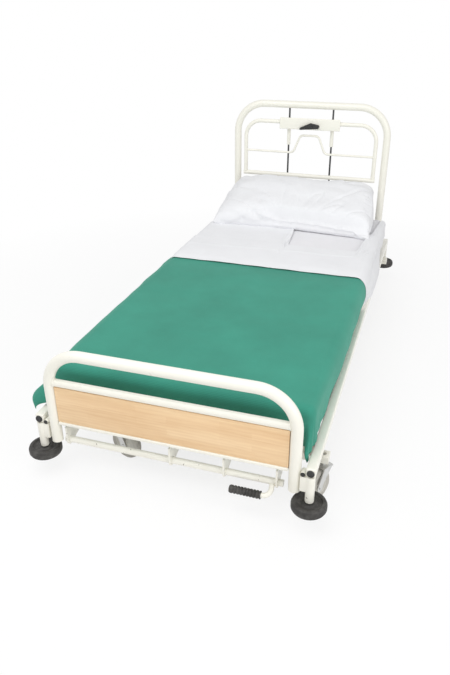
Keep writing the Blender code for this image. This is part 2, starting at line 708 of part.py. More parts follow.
def torque_tube(length, y, z):
    """A plain tube across the bed, bored for the pivot pins at its ends."""
    outside = cylinder(TORQUE_TUBE, length, (0, y, z), "X")
    bore = cylinder(PIVOT_PIN + 2 * RUNNING, 2 * length, (0, y, z), "X")
    return outside, bore


def lifting_arms():
    """Two pairs of equal arms, each welded between two tubes, that raise the frame level."""
    lower_length = 2 * (RAIL_FACE - RUNNING)
    upper_length = 2 * (LIFT_PLATE_X - RUNNING)
    rise = UPPER_PIVOT_Z - LOWER_PIVOT_Z
    for label, pivot_y in (("foot", FOOT_PIVOT_Y), ("head", HEAD_PIVOT_Y)):
        tube_mesh, bore = torque_tube(lower_length, 0, 0)
        arms = add("lift_arms_" + label, tube_mesh, CREAM, location=(0, pivot_y, LOWER_PIVOT_Z))
        for side in (-1, 1):
            arm = block((ARM_THICK, ARM_LENGTH, ARM_DEPTH), (0, -ARM_LENGTH / 2, 0), ARM_ROUND)
            arm.transform(Matrix.Translation((side * ARM_X, 0, 0)) @ Matrix.Rotation(-ARM_RISE, 4, "X"))
            boolean(arms, "UNION", arm)
        upper_mesh, upper_bore = torque_tube(upper_length, -ARM_RUN, rise)
        boolean(arms, "UNION", upper_mesh)
        if label == "foot":
            add_horn(arms)
        boolean(arms, "DIFFERENCE", bore)
        boolean(arms, "DIFFERENCE", upper_bore)


def add_horn(arms):
    """The short horn under the foot arms' lower tube and the cross pin that the ram pulls."""
    reach = HORN_LENGTH + HORN_TIP
    horn = block((HORN_THICK, HORN_DEPTH, reach), (0, 0, -reach / 2), ARM_ROUND)
    horn.transform(Matrix.Rotation(HORN_START, 4, "X"))
    boolean(arms, "UNION", horn)
    width = HORN_THICK + 2 * (RUNNING + CLEVIS_PLATE + HORN_PIN_END)
    pin = cylinder(HORN_PIN, width, (0, HORN_Y - FOOT_PIVOT_Y, HORN_Z - LOWER_PIVOT_Z), "X", 12)
    boolean(arms, "UNION", pin)


def ram():
    """The pump, flanged under both chassis rails, and the rod whose slotted end pulls the horn."""
    axis_z = HORN_Z - HORN_SAG / 2
    top = CHASSIS_BASE - GAP
    size = (PUMP_WIDTH, PUMP_LENGTH, PUMP_HEIGHT)
    middle = (CYLINDER_END - PUMP_LENGTH / 2 + WELD, top - WELD - PUMP_HEIGHT / 2)
    pump = add("pump_unit", block(size, rounding=PUMP_ROUND), CREAM, location=(0, *middle))
    length = CYLINDER_MOUTH - CYLINDER_END + 2 * WELD
    barrel_y = (CYLINDER_MOUTH + CYLINDER_END) / 2 - middle[0]
    barrel_z = axis_z - middle[1]
    boolean(pump, "UNION", cylinder(CYLINDER, length, (0, barrel_y, barrel_z), "Y", 20))
    flange_z = top - PUMP_FLANGE[2] / 2 - middle[1]
    boolean(pump, "UNION", block(PUMP_FLANGE, (0, 0, flange_z)))
    mouth = (0, CYLINDER_MOUTH - middle[0], barrel_z)
    bore = cylinder(ROD + 2 * RUNNING, 2 * ROD_STROKE_ROOM, mouth, "Y", 16)
    boolean(pump, "DIFFERENCE", bore)
    slot = HORN_PIN / 2 + RUNNING
    eye = slot + CLEVIS_RIM
    reach = HORN_Y - 2 * eye - HORN_DEPTH
    inner = CYLINDER_MOUTH - ROD_INSIDE
    rod = add("ram_rod", cylinder(ROD, reach - inner, (0, (reach + inner) / 2 - HORN_Y, 0), "Y", 16), STEEL,
              location=(0, HORN_Y, axis_z))
    half_sag = HORN_SAG / 2 + RUNNING
    block_end = reach - HORN_Y
    rim = ring((0, -half_sag), eye, 270, 360, 5) + ring((0, half_sag), eye, 0, 90, 5)
    rim += [(block_end, ROD / 2), (block_end, -ROD / 2)]
    hole = ring((0, half_sag), slot, 0, 180, 8) + ring((0, -half_sag), slot, 180, 360, 8)
    cheek_x = HORN_THICK / 2 + RUNNING + CLEVIS_PLATE / 2
    bridge = 2 * cheek_x + CLEVIS_PLATE + WELD
    boolean(rod, "UNION", block((bridge, CLEVIS_BRIDGE, ROD + 2 * WELD), (0, block_end, 0)))
    for side in (-1, 1):
        cheek = plate([rim, hole], CLEVIS_PLATE)
        cheek.transform(Matrix.Translation((side * cheek_x, 0, 0)) @ UPRIGHT)
        boolean(rod, "UNION", cheek)


def pedal():
    """The foot pedal's bar, which turns in its hangers, with the bent arm and ribbed grip."""
    length = PEDAL_BAR_RIGHT - PEDAL_BAR_LEFT
    middle = (PEDAL_BAR_RIGHT + PEDAL_BAR_LEFT) / 2
    lever = add("pedal_bar", cylinder(PEDAL_BAR, length, (middle, 0, 0), "X", 20), CREAM,
                location=(0, PEDAL_BAR_Y, PEDAL_BAR_Z))
    elbow = (PEDAL_ARM_X, -PEDAL_REACH, -PEDAL_DROP)
    grip_end = PEDAL_ARM_X - PEDAL_BEND - GRIP_START
    tip = (grip_end - GRIP_LENGTH + GRIP_CAP, -PEDAL_REACH, -PEDAL_DROP)
    path = arc_path([(PEDAL_ARM_X, 0, 0), elbow, tip], PEDAL_BEND, 6)
    boolean(lever, "UNION", tube(path, PEDAL_ARM, 12))
    bore = PEDAL_ARM / 2 / cos(pi / GRIP_SIDES) + GAP
    pitch = GRIP_LENGTH / GRIP_RIBS
    outer = []
    for rib in range(GRIP_RIBS):
        top = GRIP_LENGTH - rib * pitch
        outer.append((GRIP_RADIUS - GRIP_GROOVE, top))
        outer.append((GRIP_RADIUS, top - 0.25 * pitch))
        outer.append((GRIP_RADIUS, top - 0.75 * pitch))
    outer.append((GRIP_RADIUS - GRIP_GROOVE, 0.0))
    bore_profile = [(bore, 0.0), (bore, GRIP_LENGTH)]
    place = (grip_end - GRIP_LENGTH, PEDAL_BAR_Y - PEDAL_REACH, PEDAL_BAR_Z - PEDAL_DROP)
    turned("pedal_grip", outer + bore_profile, RUBBER, GRIP_SIDES, location=place, axis="X")


def head_end():
    """Head hoop, the two guide rods and the seat that holds their lower ends."""
    add("head_hoop", hoop(HOOP_Y, HEAD_TOP, HEAD_CORNER), CREAM)
    section = (GUIDE_SEAT, GUIDE_SEAT)
    add("guide_rod_seat", bar(BETWEEN_LEGS - 2 * GAP, section, rounding=GUIDE_SEAT_ROUND), CREAM,
        location=(0, HOOP_Y, GUIDE_SEAT_Z))
    top = HEAD_TOP - HOOP_TUBE - GAP
    base = GUIDE_SEAT_Z + GUIDE_SEAT / 2 + GAP
    for side, label in ((-1, "left"), (1, "right")):
        add("guide_rod_" + label, cylinder(GUIDE_ROD, top - base, sides=12), STEEL,
            location=(side * GUIDE_X, HOOP_Y, (top + base) / 2))


def head_slide():
    """The inner frame that slides on the guide rods, with its cover plate and release lever."""
    crown = SLIDE_TOP - SLIDE_TUBE / 2
    corners = [(-SLIDE_LEG_X, SLIDE_Y, LOWER_RAIL_Z), (-SLIDE_LEG_X, SLIDE_Y, crown),
               (SLIDE_LEG_X, SLIDE_Y, crown), (SLIDE_LEG_X, SLIDE_Y, LOWER_RAIL_Z)]
    frame = add("head_slide_frame", tube(arc_path(corners, SLIDE_CORNER, 6), SLIDE_TUBE, 14), CREAM)
    lower = cylinder(LOWER_RAIL_TUBE, SLIDE_WIDTH + 2 * LOWER_RAIL_END, (0, SLIDE_Y, LOWER_RAIL_Z), "X", 14)
    boolean(frame, "UNION", lower)
    arch_z = GRAB_BAR_Z + GRAB_ARCH_HEIGHT
    grab = [(-SLIDE_LEG_X, SLIDE_Y, GRAB_BAR_Z), (-GRAB_ARCH_FOOT, SLIDE_Y, GRAB_BAR_Z),
            (-GRAB_ARCH_TOP, SLIDE_Y, arch_z), (GRAB_ARCH_TOP, SLIDE_Y, arch_z),
            (GRAB_ARCH_FOOT, SLIDE_Y, GRAB_BAR_Z), (SLIDE_LEG_X, SLIDE_Y, GRAB_BAR_Z)]
    boolean(frame, "UNION", tube(arc_path(grab, GRAB_BEND, 5), GRAB_BAR, 10))
    middle = (SLEEVE_TOP + SLEEVE_BASE) / 2
    for side in (-1, 1):
        sleeve = cylinder(SLEEVE, SLEEVE_TOP - SLEEVE_BASE, (side * GUIDE_X, HOOP_Y, middle), sides=14)
        boolean(frame, "UNION", sleeve)
    for side in (-1, 1):
        place = (side * GUIDE_X, HOOP_Y, middle)
        bore = cylinder(GUIDE_ROD + 2 * RUNNING, 2 * SLEEVE_LENGTH, place, sides=12)
        boolean(frame, "DIFFERENCE", bore)
    depth = PLATE_SHEET + PLATE_RETURN
    cover = block((PLATE_WIDTH, depth, PLATE_HEIGHT), rounding=PLATE_ROUND / 2)
    cover_z = PLATE_BASE + PLATE_HEIGHT / 2
    shell = add("slide_cover_plate", cover, CREAM, location=(0, PLATE_FRONT_Y + depth / 2, cover_z))
    hollow = (PLATE_WIDTH - 2 * PLATE_SHEET, depth, PLATE_HEIGHT - 2 * PLATE_SHEET)
    boolean(shell, "DIFFERENCE", block(hollow, (0, PLATE_SHEET, 0)))
    release_lever()


def release_lever():
    """The black paddle on the cover plate and the pin that it turns on."""
    pin_length = LEVER_THICK + LEVER_PIN_END
    pin_y = PLATE_FRONT_Y - GAP - pin_length / 2
    add("lever_pin", cylinder(LEVER_PIN, pin_length, axis="Y"), STEEL, location=(LEVER_X, pin_y, LEVER_Z))
    heel_place = (LEVER_HEEL - LEVER_HEEL_INSET, LEVER_HEEL_RISE)
    tip_place = (LEVER_TIP_ROUND - LEVER_TIP, -LEVER_TIP_DROP)
    heel = ring(heel_place, LEVER_HEEL_ROUND, -70.0, 60.0, 5)
    tip = ring(tip_place, LEVER_TIP_ROUND, 110.0, 290.0, 5)
    outline = heel + [(LEVER_CREST_X, LEVER_CREST)] + tip
    paddle = plate([outline], LEVER_THICK)
    paddle.transform(Matrix.Rotation(pi / 2, 4, "X"))
    place = (LEVER_X, PLATE_FRONT_Y - 2 * GAP - LEVER_THICK / 2, LEVER_Z)
    lever = add("release_lever", paddle, PLASTIC, location=place)
    boolean(lever, "DIFFERENCE", cylinder(LEVER_PIN + 2 * RUNNING, 4 * LEVER_THICK, axis="Y"))


def cuts(shape, axis, stations):
    """Split a shape by planes across one axis, to give it rings of points."""
    normal = Vector([1.0 if index == axis else 0.0 for index in range(3)])
    for station in stations:
        geometry = shape.verts[:] + shape.edges[:] + shape.faces[:]
        bmesh.ops.bisect_plane(shape, geom=geometry, dist=0.00001, plane_co=normal * station,
                               plane_no=normal)


def stations(low, high, count):
    """Evenly spaced places strictly between two ends."""
    return [low + (high - low) * (index + 1) / (count + 1) for index in range(count)]


def open_box(low, high, open_sides, rounding):
    """A thin box without some of its sides, its kept edges rounded."""
    low = Vector(low)
    high = Vector(high)
    shape = bmesh.new()
    place = Matrix.Translation((low + high) / 2) @ Matrix.Diagonal((*(high - low), 1.0))
    bmesh.ops.create_cube(shape, size=1.0, matrix=place)
    shape.normal_update()
    gone = [face for face in shape.faces
            if any(face.normal.dot(Vector(side)) > 0.9 for side in open_sides)]
    bmesh.ops.delete(shape, geom=gone, context="FACES")
    kept = [edge for edge in shape.edges if len(edge.link_faces) == 2]
    bmesh.ops.bevel(shape, geom=kept, offset=rounding, offset_type="OFFSET", segments=3, profile=0.5,
                    affect="EDGES")
    return shape


def thicken(piece, thickness):
    """Give a draped sheet its thickness, on its outer side."""
    wall = piece.modifiers.new("thickness", "SOLIDIFY")
    wall.thickness = thickness
    wall.offset = 1.0


def fall(z, top, hem):
    """How far down the hanging side a point lies, from 0 at the top to 1 at the hem."""
    return min(max((top - z) / (top - hem), 0.0), 1.0)


def blanket():
    """The green blanket: flat on top, hanging in soft folds and flared at one foot corner."""
    half = MATTRESS_HALF_WIDTH + BLANKET_EASE
    foot = -MATTRESS_HALF_LENGTH - BLANKET_EASE
    top = BLANKET_BASE
    shape = open_box((-half, foot, BLANKET_HEM), (half, BLANKET_HEAD_Y, top), ((0, 0, -1), (0, 1, 0)),
                     MATTRESS_ROUND)
    hang_top = top - MATTRESS_ROUND
    cuts(shape, 1, stations(foot + MATTRESS_ROUND, BLANKET_HEAD_Y, 16))
    cuts(shape, 0, stations(-half + MATTRESS_ROUND, half - MATTRESS_ROUND, 8))
    cuts(shape, 2, stations(BLANKET_HEM, hang_top, 2))
    for vert in shape.verts:
        down = fall(vert.co.z, hang_top, BLANKET_HEM)
        if down == 0.0:
            continue
        side = 1.0 if vert.co.x > 0 else -1.0
        along = vert.co.y
        if vert.co.y > foot + 0.01:
            wave = 0.5 + 0.5 * sin(2 * pi * along / BLANKET_FOLD_PITCH)
            fade = min((BLANKET_HEAD_Y - along) / BLANKET_FOLD_PITCH, 1.0)
            vert.co.x += side * down * BLANKET_FOLD * wave * fade
            near_foot = max(1.0 - (along - foot) / CORNER_FLARE_LENGTH, 0.0)
            if side < 0:
                vert.co.x -= CORNER_FLARE * down * near_foot * near_foot
        vert.co.z += down * (BLANKET_FOOT_HEM - BLANKET_HEM) * (1.0 if along < foot + 0.03 else 0.0)
    piece = add("green_blanket", smooth(from_bmesh(shape), 60.0), GREEN)
    thicken(piece, BLANKET_THICK)


def turned_sheet():
    """The white sheet folded over the blanket, hanging over both rails, at the right up to the head."""
    half = MATTRESS_HALF_WIDTH + BLANKET_EASE + BLANKET_THICK + 2 * GAP
    top = BLANKET_BASE + BLANKET_THICK + GAP
    shape = open_box((-half, SHEET_FOOT_Y, SHEET_HEM), (half, SHEET_SIDE_HEAD_Y, top),
                     ((0, 0, -1), (0, 1, 0), (0, -1, 0)), MATTRESS_ROUND)
    hang_top = top - MATTRESS_ROUND
    cuts(shape, 1, stations(SHEET_FOOT_Y, SHEET_HEAD_Y, 7) + [SHEET_HEAD_Y])
    cuts(shape, 1, stations(SHEET_HEAD_Y, SHEET_SIDE_HEAD_Y, 6))
    cuts(shape, 0, stations(-half + MATTRESS_ROUND, half - MATTRESS_ROUND, 6))
    cuts(shape, 2, stations(SHEET_HEM, hang_top, 4))
    centres = {face: face.calc_center_median() for face in shape.faces}
    spare = [face for face, centre in centres.items()
             if centre.y > SHEET_HEAD_Y and centre.x < half - MATTRESS_ROUND]
    bmesh.ops.delete(shape, geom=spare, context="FACES")
    for vert in shape.verts:
        down = fall(vert.co.z, hang_top, SHEET_HEM)
        side = 1.0 if vert.co.x > 0 else -1.0
        out = min(down / SHEET_OUT_SHARE, 1.0)
        wave = 0.5 + 0.5 * sin(2 * pi * vert.co.y / SHEET_FOLD_PITCH)
        vert.co.x += side * out * (SHEET_FLARE + SHEET_FOLD * wave)
    piece = add("turned_sheet", smooth(from_bmesh(shape), 60.0), LINEN)
    thicken(piece, SHEET_THICK)


def mattress():
    """The mattress: a foam block with rounded edges."""
    shape = bmesh.new()
    size = (2 * MATTRESS_HALF_WIDTH, 2 * MATTRESS_HALF_LENGTH, MATTRESS_THICK)
    bmesh.ops.create_cube(shape, size=1.0)
    bmesh.ops.scale(shape, vec=size, verts=shape.verts)
    bmesh.ops.bevel(shape, geom=shape.edges, offset=MATTRESS_ROUND, offset_type="OFFSET", segments=3,
                    profile=0.5, affect="EDGES")
    add("mattress", smooth(from_bmesh(shape)), TICKING,
        location=(0, 0, MATTRESS_BASE + MATTRESS_THICK / 2))


def pillow():
    """The pillow: full in the middle, with a thin drawn-in rim that climbs towards the back."""
    shape = bmesh.new()
    bmesh.ops.create_cube(shape, size=2.0)
    bmesh.ops.subdivide_edges(shape, edges=shape.edges, cuts=PILLOW_CUTS, use_grid_fill=True)
    for vert in shape.verts:
        across, along, up = vert.co
        swell = sqrt(max(1.0 - across ** 4, 0.0)) * sqrt(max(1.0 - along ** 4, 0.0))
        rim = PILLOW_HEIGHT * (RIM_SHARE[0] + RIM_SHARE[1] * along)
        crest = PILLOW_HEIGHT * (CREST_SHARE[0] + CREST_SHARE[1] * along)
        top = rim + PILLOW_RIM + (crest - rim - PILLOW_RIM) * swell
        base = max((rim - PILLOW_RIM) * (1.0 - swell) ** 1.5, 0.0)
        share = 0.5 + 0.5 * up
        vert.co.x = across * (0.95 + 0.05 * along * along) * PILLOW_WIDTH / 2
        vert.co.y = along * (0.94 + 0.06 * across * across) * PILLOW_DEPTH / 2
        vert.co.z = base + (top - base) * share
    place = (0, PILLOW_BACK_Y - PILLOW_DEPTH / 2, MATTRESS_TOP + GAP)
    add("pillow", smooth(from_bmesh(shape), 60.0), LINEN, location=place)


foot_end()
corner_posts()
side_rails()
deck()
chassis()
castors()
lifting_arms()
ram()
pedal()
head_end()
head_slide()
mattress()
blanket()
turned_sheet()
pillow()
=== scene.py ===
"""Dresses a hospital bed: enamelled tubes, laminate, rubber, castors and made-up bedding."""

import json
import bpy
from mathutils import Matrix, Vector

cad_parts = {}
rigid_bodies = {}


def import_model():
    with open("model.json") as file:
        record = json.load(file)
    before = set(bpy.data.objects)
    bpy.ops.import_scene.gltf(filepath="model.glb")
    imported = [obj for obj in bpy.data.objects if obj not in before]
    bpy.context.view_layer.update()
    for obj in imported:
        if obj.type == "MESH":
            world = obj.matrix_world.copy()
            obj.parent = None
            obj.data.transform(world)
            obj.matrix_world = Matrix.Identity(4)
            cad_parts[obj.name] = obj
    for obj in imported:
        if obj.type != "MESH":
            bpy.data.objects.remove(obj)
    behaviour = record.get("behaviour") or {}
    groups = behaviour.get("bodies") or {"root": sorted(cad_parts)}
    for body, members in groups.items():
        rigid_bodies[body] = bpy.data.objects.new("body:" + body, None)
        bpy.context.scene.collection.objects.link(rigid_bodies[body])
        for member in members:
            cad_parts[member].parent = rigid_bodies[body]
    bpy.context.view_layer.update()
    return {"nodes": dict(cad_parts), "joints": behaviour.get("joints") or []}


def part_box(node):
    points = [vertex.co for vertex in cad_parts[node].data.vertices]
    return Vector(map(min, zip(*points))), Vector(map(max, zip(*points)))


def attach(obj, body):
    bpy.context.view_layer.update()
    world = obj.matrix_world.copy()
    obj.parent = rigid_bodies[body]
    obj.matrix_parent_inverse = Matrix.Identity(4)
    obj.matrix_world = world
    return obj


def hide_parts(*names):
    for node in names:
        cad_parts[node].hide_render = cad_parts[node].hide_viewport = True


bl_info = {
    "name": "Hospital Bed Dresser",
    "version": (1, 0, 0),
    "blender": (4, 5, 0),
    "location": "View3D > Sidebar > Bed",
    "description": "Models and finishes the visible pieces of a hospital bed around its frame",
    "category": "Object",
}

from math import atan2, cos, hypot, pi, radians, sin

import bmesh
import bpy
from bpy.props import FloatProperty, FloatVectorProperty, IntProperty, PointerProperty
from bpy.types import Operator, Panel, PropertyGroup
from mathutils import Matrix, Vector, noise

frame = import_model()
JOINTS = {joint["name"]: joint for joint in frame["joints"]}
CORNERS = ("foot_left", "foot_right", "head_left", "head_right")
SMOOTH_ANGLE = radians(38.0)

# Colours and sizes in the finishes
WHITE = (1.0, 1.0, 1.0, 1.0)
BLACK = (0.0, 0.0, 0.0, 1.0)
DUST = (0.33, 0.32, 0.30, 1.0)
CHIP = (0.16, 0.12, 0.09, 1.0)
WEAR_TOP = 0.30
WEAR_FULL = 0.06
STRIP_LENGTH = 0.290
STRIP_WIDTH = 0.0235
STRIP_JOINT = 0.0004
COTTON_PITCH = 0.0011

# Rigid pieces: sizes in metres, counts, profiles as shares of a radius and a length
WELD_SIDES = 10
WELD_STEPS = 40
EASE_ANGLE = radians(40.0)
HOOP_LIP = 0.0015
WELD_THIN = 0.0018
WELD_BEAD = 0.0022
WELD_HEAVY = 0.0025
RAIL_WELD_IN = 0.004
SEAM_GAP = 0.0005
TYRE_GAP = 0.0003
STUB_GAP = 0.0004
STUB_SINK = 0.001
ROLLER_BORE = 0.0085
ROLLER_BOSS = 0.92
TYRE_SEAT = 0.84
GRIP_RIBS = 9
GRIP_END = 0.006
LINK_HALF = 0.008
PLUG_PROFILE = ((0.0, 0.0), (1.0, 0.0), (1.0, 0.55), (0.86, 0.85), (0.62, 1.0), (0.50, 0.93), (0.0, 0.90))
ROLLER_PROFILE = ((0.80, 0.0), (0.94, 0.10), (1.0, 0.30), (1.0, 0.70), (0.94, 0.93), (0.84, 1.0),
                  (0.74, 1.0), (0.70, 0.86), (0.46, 0.80), (0.42, 0.90), (0.34, 0.92))
HUB_SIDE = ((1.0, 0.80), (0.88, 0.80), (0.78, 0.62), (0.38, 0.78), (0.34, 1.0))
TYRE_SIDE = ((1.0, 0.06), (0.992, 0.40), (0.965, 0.72), (0.90, 0.94), (0.80, 1.0))
RIB_PROFILE = ((1.0, 0.0), (1.0, 0.55), (0.84, 0.66), (0.84, 0.90))

# How cloth is simulated
UNDER_GAP = 0.002
UNDER_FRICTION = 20.0
CLOTH_GAP = 0.003
SETTLING = {"quality": 6, "mass": 0.25, "air_damping": 3.0, "tension_stiffness": 30.0,
            "compression_stiffness": 30.0, "bending_stiffness": 0.9, "vertex_group_mass": "held"}
FILLING = {"quality": 5, "mass": 0.3, "use_pressure": True, "tension_stiffness": 18.0,
           "compression_stiffness": 18.0, "bending_stiffness": 0.25}

# The mattress
MATTRESS_CELL = 0.012
MATTRESS_FRAMES = 8
MATTRESS_AIR = 1.2
MATTRESS_GROWTH = 0.012
MATTRESS_CAP = 0.003
MATTRESS_SWELL = 0.0012
MATTRESS_PULL = 0.0016

# The blanket's folds: heights and pitches in metres, slack as a share of what hangs
BLANKET_LIFT = 0.0006
BLANKET_CAP = 0.020
LOOSE_SLACK = 0.13
TUCKED_SLACK = 0.17
EAR_FROM = 0.020
EAR_RUN = 0.100
FOOT_REACH = 0.24
BULGE_RUN = 0.55
GATHER_RUN = 0.20
RAGGED_DEPTH = 0.030
LOOSE_FOLD = 0.0045
LOOSE_PITCH = 0.15
EAR_FOLD = 0.0040
EAR_PITCH = 0.085
TUCKED_FOLD = 0.0020
TUCKED_PITCH = 0.21
GATHER_FOLD = 0.0028
GATHER_PITCH = 0.070
PLEAT_FOLD = 0.0028
PLEAT_PITCH = 0.17
LOOSE_TILT = 0.12
HIDDEN_FROM = 0.12
HIDDEN_RUN = 0.10
BLANKET_WAVE = 0.0016
BLANKET_RUMPLE = 0.0010
BLANKET_DRAG = 0.0026

# The turned sheet: places on its cut, runs, heights and pitches in metres, slack as a share
BAY_LEFT = 0.024
BAY_RIGHT = 0.396
BAY_TURN = 0.024
BAY_CLEAR = 0.010
LEFT_RIDGE = 0.014
LEFT_RIDGE_HALF = 0.016
RIGHT_RIDGE = 0.418
RIGHT_RIDGE_HALF = 0.013
CREASE_AT = 0.300
CREASE_HALF = 0.012
TUCK_FROM = 0.54
TUCK_RUN = 0.16
UNDER_PILLOW = 0.050
UNDER_FOLD = 0.030
FOLD_HELD = 0.06
FLARE_RUN = 0.24
SHEET_CAP = 0.016
SHEET_OVER = 0.004
SHEET_ROOM = 0.0012
SHEET_REST = 0.0034
SHEET_SLACK = 0.08
BAND_EDGE = 0.004
BAND_RUN = 0.010
LOWER_FROM = 0.010
LOWER_RUN = 0.02
LOWER_ROOM = 0.0004
BAY_FROM = 0.02
BAY_RUN = 0.04
SHEET_FOLD = 0.0032
SHEET_PITCH = 0.20
BEAD_DROP = 0.0046
BEAD_RUN = 0.060
BEAD_TURN = 0.0030
RIDGE_HEIGHT = 0.0050
RIM_HEIGHT = 0.0035
RIM_RUN = 0.016
SHEET_WAVE = 0.0020
SHEET_RUMPLE = 0.0014
CREASE_HEIGHT = 0.0024
HUG = 0.0030
HUG_RUN = 0.08

# The pillow: metres, and shares of its half width and half depth
PILLOW_INSET = 0.006
PILLOW_CELL = 0.0062
PILLOW_GROWTH = 0.045
PILLOW_SLIP = 0.022
PILLOW_LEAN = 0.03
WAIST_ACROSS = 0.028
WAIST_ALONG = 0.050
BACK_TAPER = 0.095
LIP_FROM = -0.76
LIP_FLAT = 0.72
CREASES_FROM = 0.030
PILLOW_CREASE = 0.0075
PILLOW_RUMPLE = 0.0040


def colour(name, value, description):
    """A colour that a user may change."""
    return FloatVectorProperty(name=name, description=description, default=value, subtype="COLOR",
                               size=3, min=0.0, max=1.0)


def length(name, value, description):
    """A size in metres that a user may change."""
    return FloatProperty(name=name, description=description, default=value, unit="LENGTH", min=0.0)


def count(name, value, lowest, description):
    """A whole number that a user may change."""
    return IntProperty(name=name, description=description, default=value, min=lowest)


def number(name, value, description, **kind):
    """A share, an angle or a power that a user may change."""
    return FloatProperty(name=name, description=description, default=value, **kind)


def spot(name, value, description):
    """A place that a user may change."""
    return FloatVectorProperty(name=name, description=description, default=value, subtype="XYZ")


class BedPaint(PropertyGroup):
    """Colours of the bed's finishes."""
    enamel: colour("Enamel", (0.885, 0.868, 0.785), "Cream enamel of tubes and rails")
    enamel_worn: colour("Worn enamel", (0.780, 0.745, 0.655), "Enamel where hands and shoes rub it")
    laminate: colour("Laminate", (0.930, 0.690, 0.425), "Light figure of the foot panel")
    laminate_dark: colour("Laminate grain", (0.720, 0.450, 0.225), "Dark figure of the foot panel")
    rubber: colour("Rubber", (0.030, 0.028, 0.026), "Bumper rollers and pedal grip")
    plastic: colour("Plastic", (0.016, 0.016, 0.016), "Rail plugs, release lever and pump")
    tyre: colour("Tyre", (0.500, 0.480, 0.435), "Castor tyres")
    hub: colour("Hub", (0.580, 0.565, 0.510), "Castor hubs")
    steel: colour("Steel", (0.700, 0.700, 0.690), "Forks, nuts and ram rod")
    dark_steel: colour("Dark steel", (0.085, 0.085, 0.088), "Guide rods and lever pin")
    cotton: colour("Cotton", (0.860, 0.865, 0.885), "Pillow and turned sheet")
    ticking: colour("Bottom sheet", (0.845, 0.840, 0.862), "Sheet on the mattress")
    blanket: colour("Blanket", (0.034, 0.250, 0.180), "Green blanket")


class BedSizes(PropertyGroup):
    """Sizes of the rigid pieces that the frame's boxes don't give."""
    foot_corner: length("Foot hoop bend", 0.130, "Bend radius of the foot hoop")
    head_corner: length("Head hoop bend", 0.160, "Bend radius of the head hoop")
    slide_tube: length("Sliding hoop tube", 0.022, "Tube of the sliding head frame")
    slide_corner: length("Sliding hoop bend", 0.090, "Bend radius of the sliding head frame")
    slide_rail: length("Lower rail tube", 0.024, "Lower rail of the sliding head frame")
    slide_rail_z: length("Lower rail height", 0.585, "Height of the lower rail")
    grab_bar: length("Grab bar", 0.012, "Thin bar with the arch")
    grab_bar_z: length("Grab bar height", 0.716, "Height of the thin bar")
    arch_height: length("Arch height", 0.098, "Rise of the thin bar's arch")
    arch_foot: length("Arch foot", 0.092, "Half width of the arch at its foot")
    arch_top: length("Arch top", 0.052, "Half width of the arch at its top")
    arch_bend: length("Arch bend", 0.028, "Bend radius of the arch")
    sleeve: length("Sleeve", 0.020, "Sleeves on the guide rods")
    sleeve_length: length("Sleeve length", 0.149, "Length of the sleeves")
    sleeve_rise: length("Sleeve rise", 0.010, "How far the sleeves stand above the sliding hoop")
    sleeve_bore: length("Sleeve bore", 0.0106, "Bore of the sleeves")
    rail_overrun: length("Lower rail end", 0.001, "How far the lower rail passes the sliding hoop")
    pedal_tube: length("Pedal arm", 0.018, "Round bar of the pedal arm")
    pedal_x: length("Pedal arm place", 0.356, "Where the arm leaves the bar, from the middle")
    pedal_bend: length("Pedal bend", 0.026, "Bend radius of the pedal arm")
    stub_length: length("Leg stub", 0.0256, "Length of the capped stub beside each foot leg")
    rail_round: length("Rail edge", 0.005, "Rounding of the side rails' edges")
    tube_sides: count("Tube sides", 40, 12, "Sides of a round tube")
    bend_steps: count("Bend steps", 16, 4, "Rings in a bend")


class BedLinen(PropertyGroup):
    """How the bedding is cut and how it lies."""
    cloth_cell: length("Cloth cell", 0.011, "Spacing of the threads that are simulated")
    settle_frames: count("Settle frames", 16, 0, "Steps of the cloth simulation")
    puff_frames: count("Puff frames", 18, 0, "Steps that fill the pillow")
    puff_pressure: number("Pressure", 4.0, "Air in the pillow")
    puff_cap: length("Pillow swell", 0.012, "How far the pillow may swell from its cut")
    pillow_front: length("Pillow front seam", 0.018, "Height of the front seam over the mattress")
    pillow_back: length("Pillow back seam", 0.142, "Height of the back seam over the mattress")
    pillow_crown: length("Pillow crown", 0.104, "Swell of the pillow over its seam")
    edge_round: length("Edge rounding", 0.025, "Rounding of the mattress edge under the cloth")
    blanket_gap: length("Blanket ease", 0.0065, "Room between mattress and blanket at the sides")
    blanket_head: length("Blanket head edge", 0.120, "Where the blanket ends under the sheet")
    blanket_drop: length("Blanket drop", 0.118, "Straight drop of the blanket's sides")
    blanket_foot_drop: length("Blanket foot drop", 0.114, "Straight drop at the foot end")
    blanket_flare: length("Blanket flare", 0.034, "How far the left foot corner stands out")
    blanket_ear: length("Blanket ear", 0.064, "How far the loose corner reaches on its diagonal")
    blanket_tuck: length("Blanket tuck", 0.068, "How far the right corner's fold reaches past the foot")
    blanket_side: length("Blanket side", 0.028, "How far the loose left side stands off")
    blanket_bulge: length("Blanket bulge", 0.020, "How far the tucked right side swells out")
    blanket_thick: length("Blanket thickness", 0.0032, "Thickness of the woven wool")
    sheet_foot: length("Sheet fold", 0.076, "Where the folded edge of the sheet lies")
    sheet_head: length("Sheet head edge", 0.404, "Where the turned part ends")
    sheet_side_head: length("Sheet side edge", 0.985, "Where the sheet hanging at the right ends")
    sheet_drop: length("Sheet drop", 0.160, "Straight drop of the sheet's sides")
    sheet_flare: length("Sheet flare", 0.040, "How far the sheet stands out over the rails")
    sheet_tuck: number("Sheet tuck", 0.28, "Share of the right hem tucked in by the head")
    sheet_lift: length("Sheet lift", 0.0068, "Height of the sheet over the mattress, on the blanket")
    sheet_lip: length("Sheet lip", 0.013, "How much of the bay's edge bends down to the mattress")
    sheet_step: length("Sheet step", 0.0050, "Height of the turned band over the layer under it")
    sheet_thick: length("Sheet thickness", 0.0016, "Thickness of the cotton, folded")


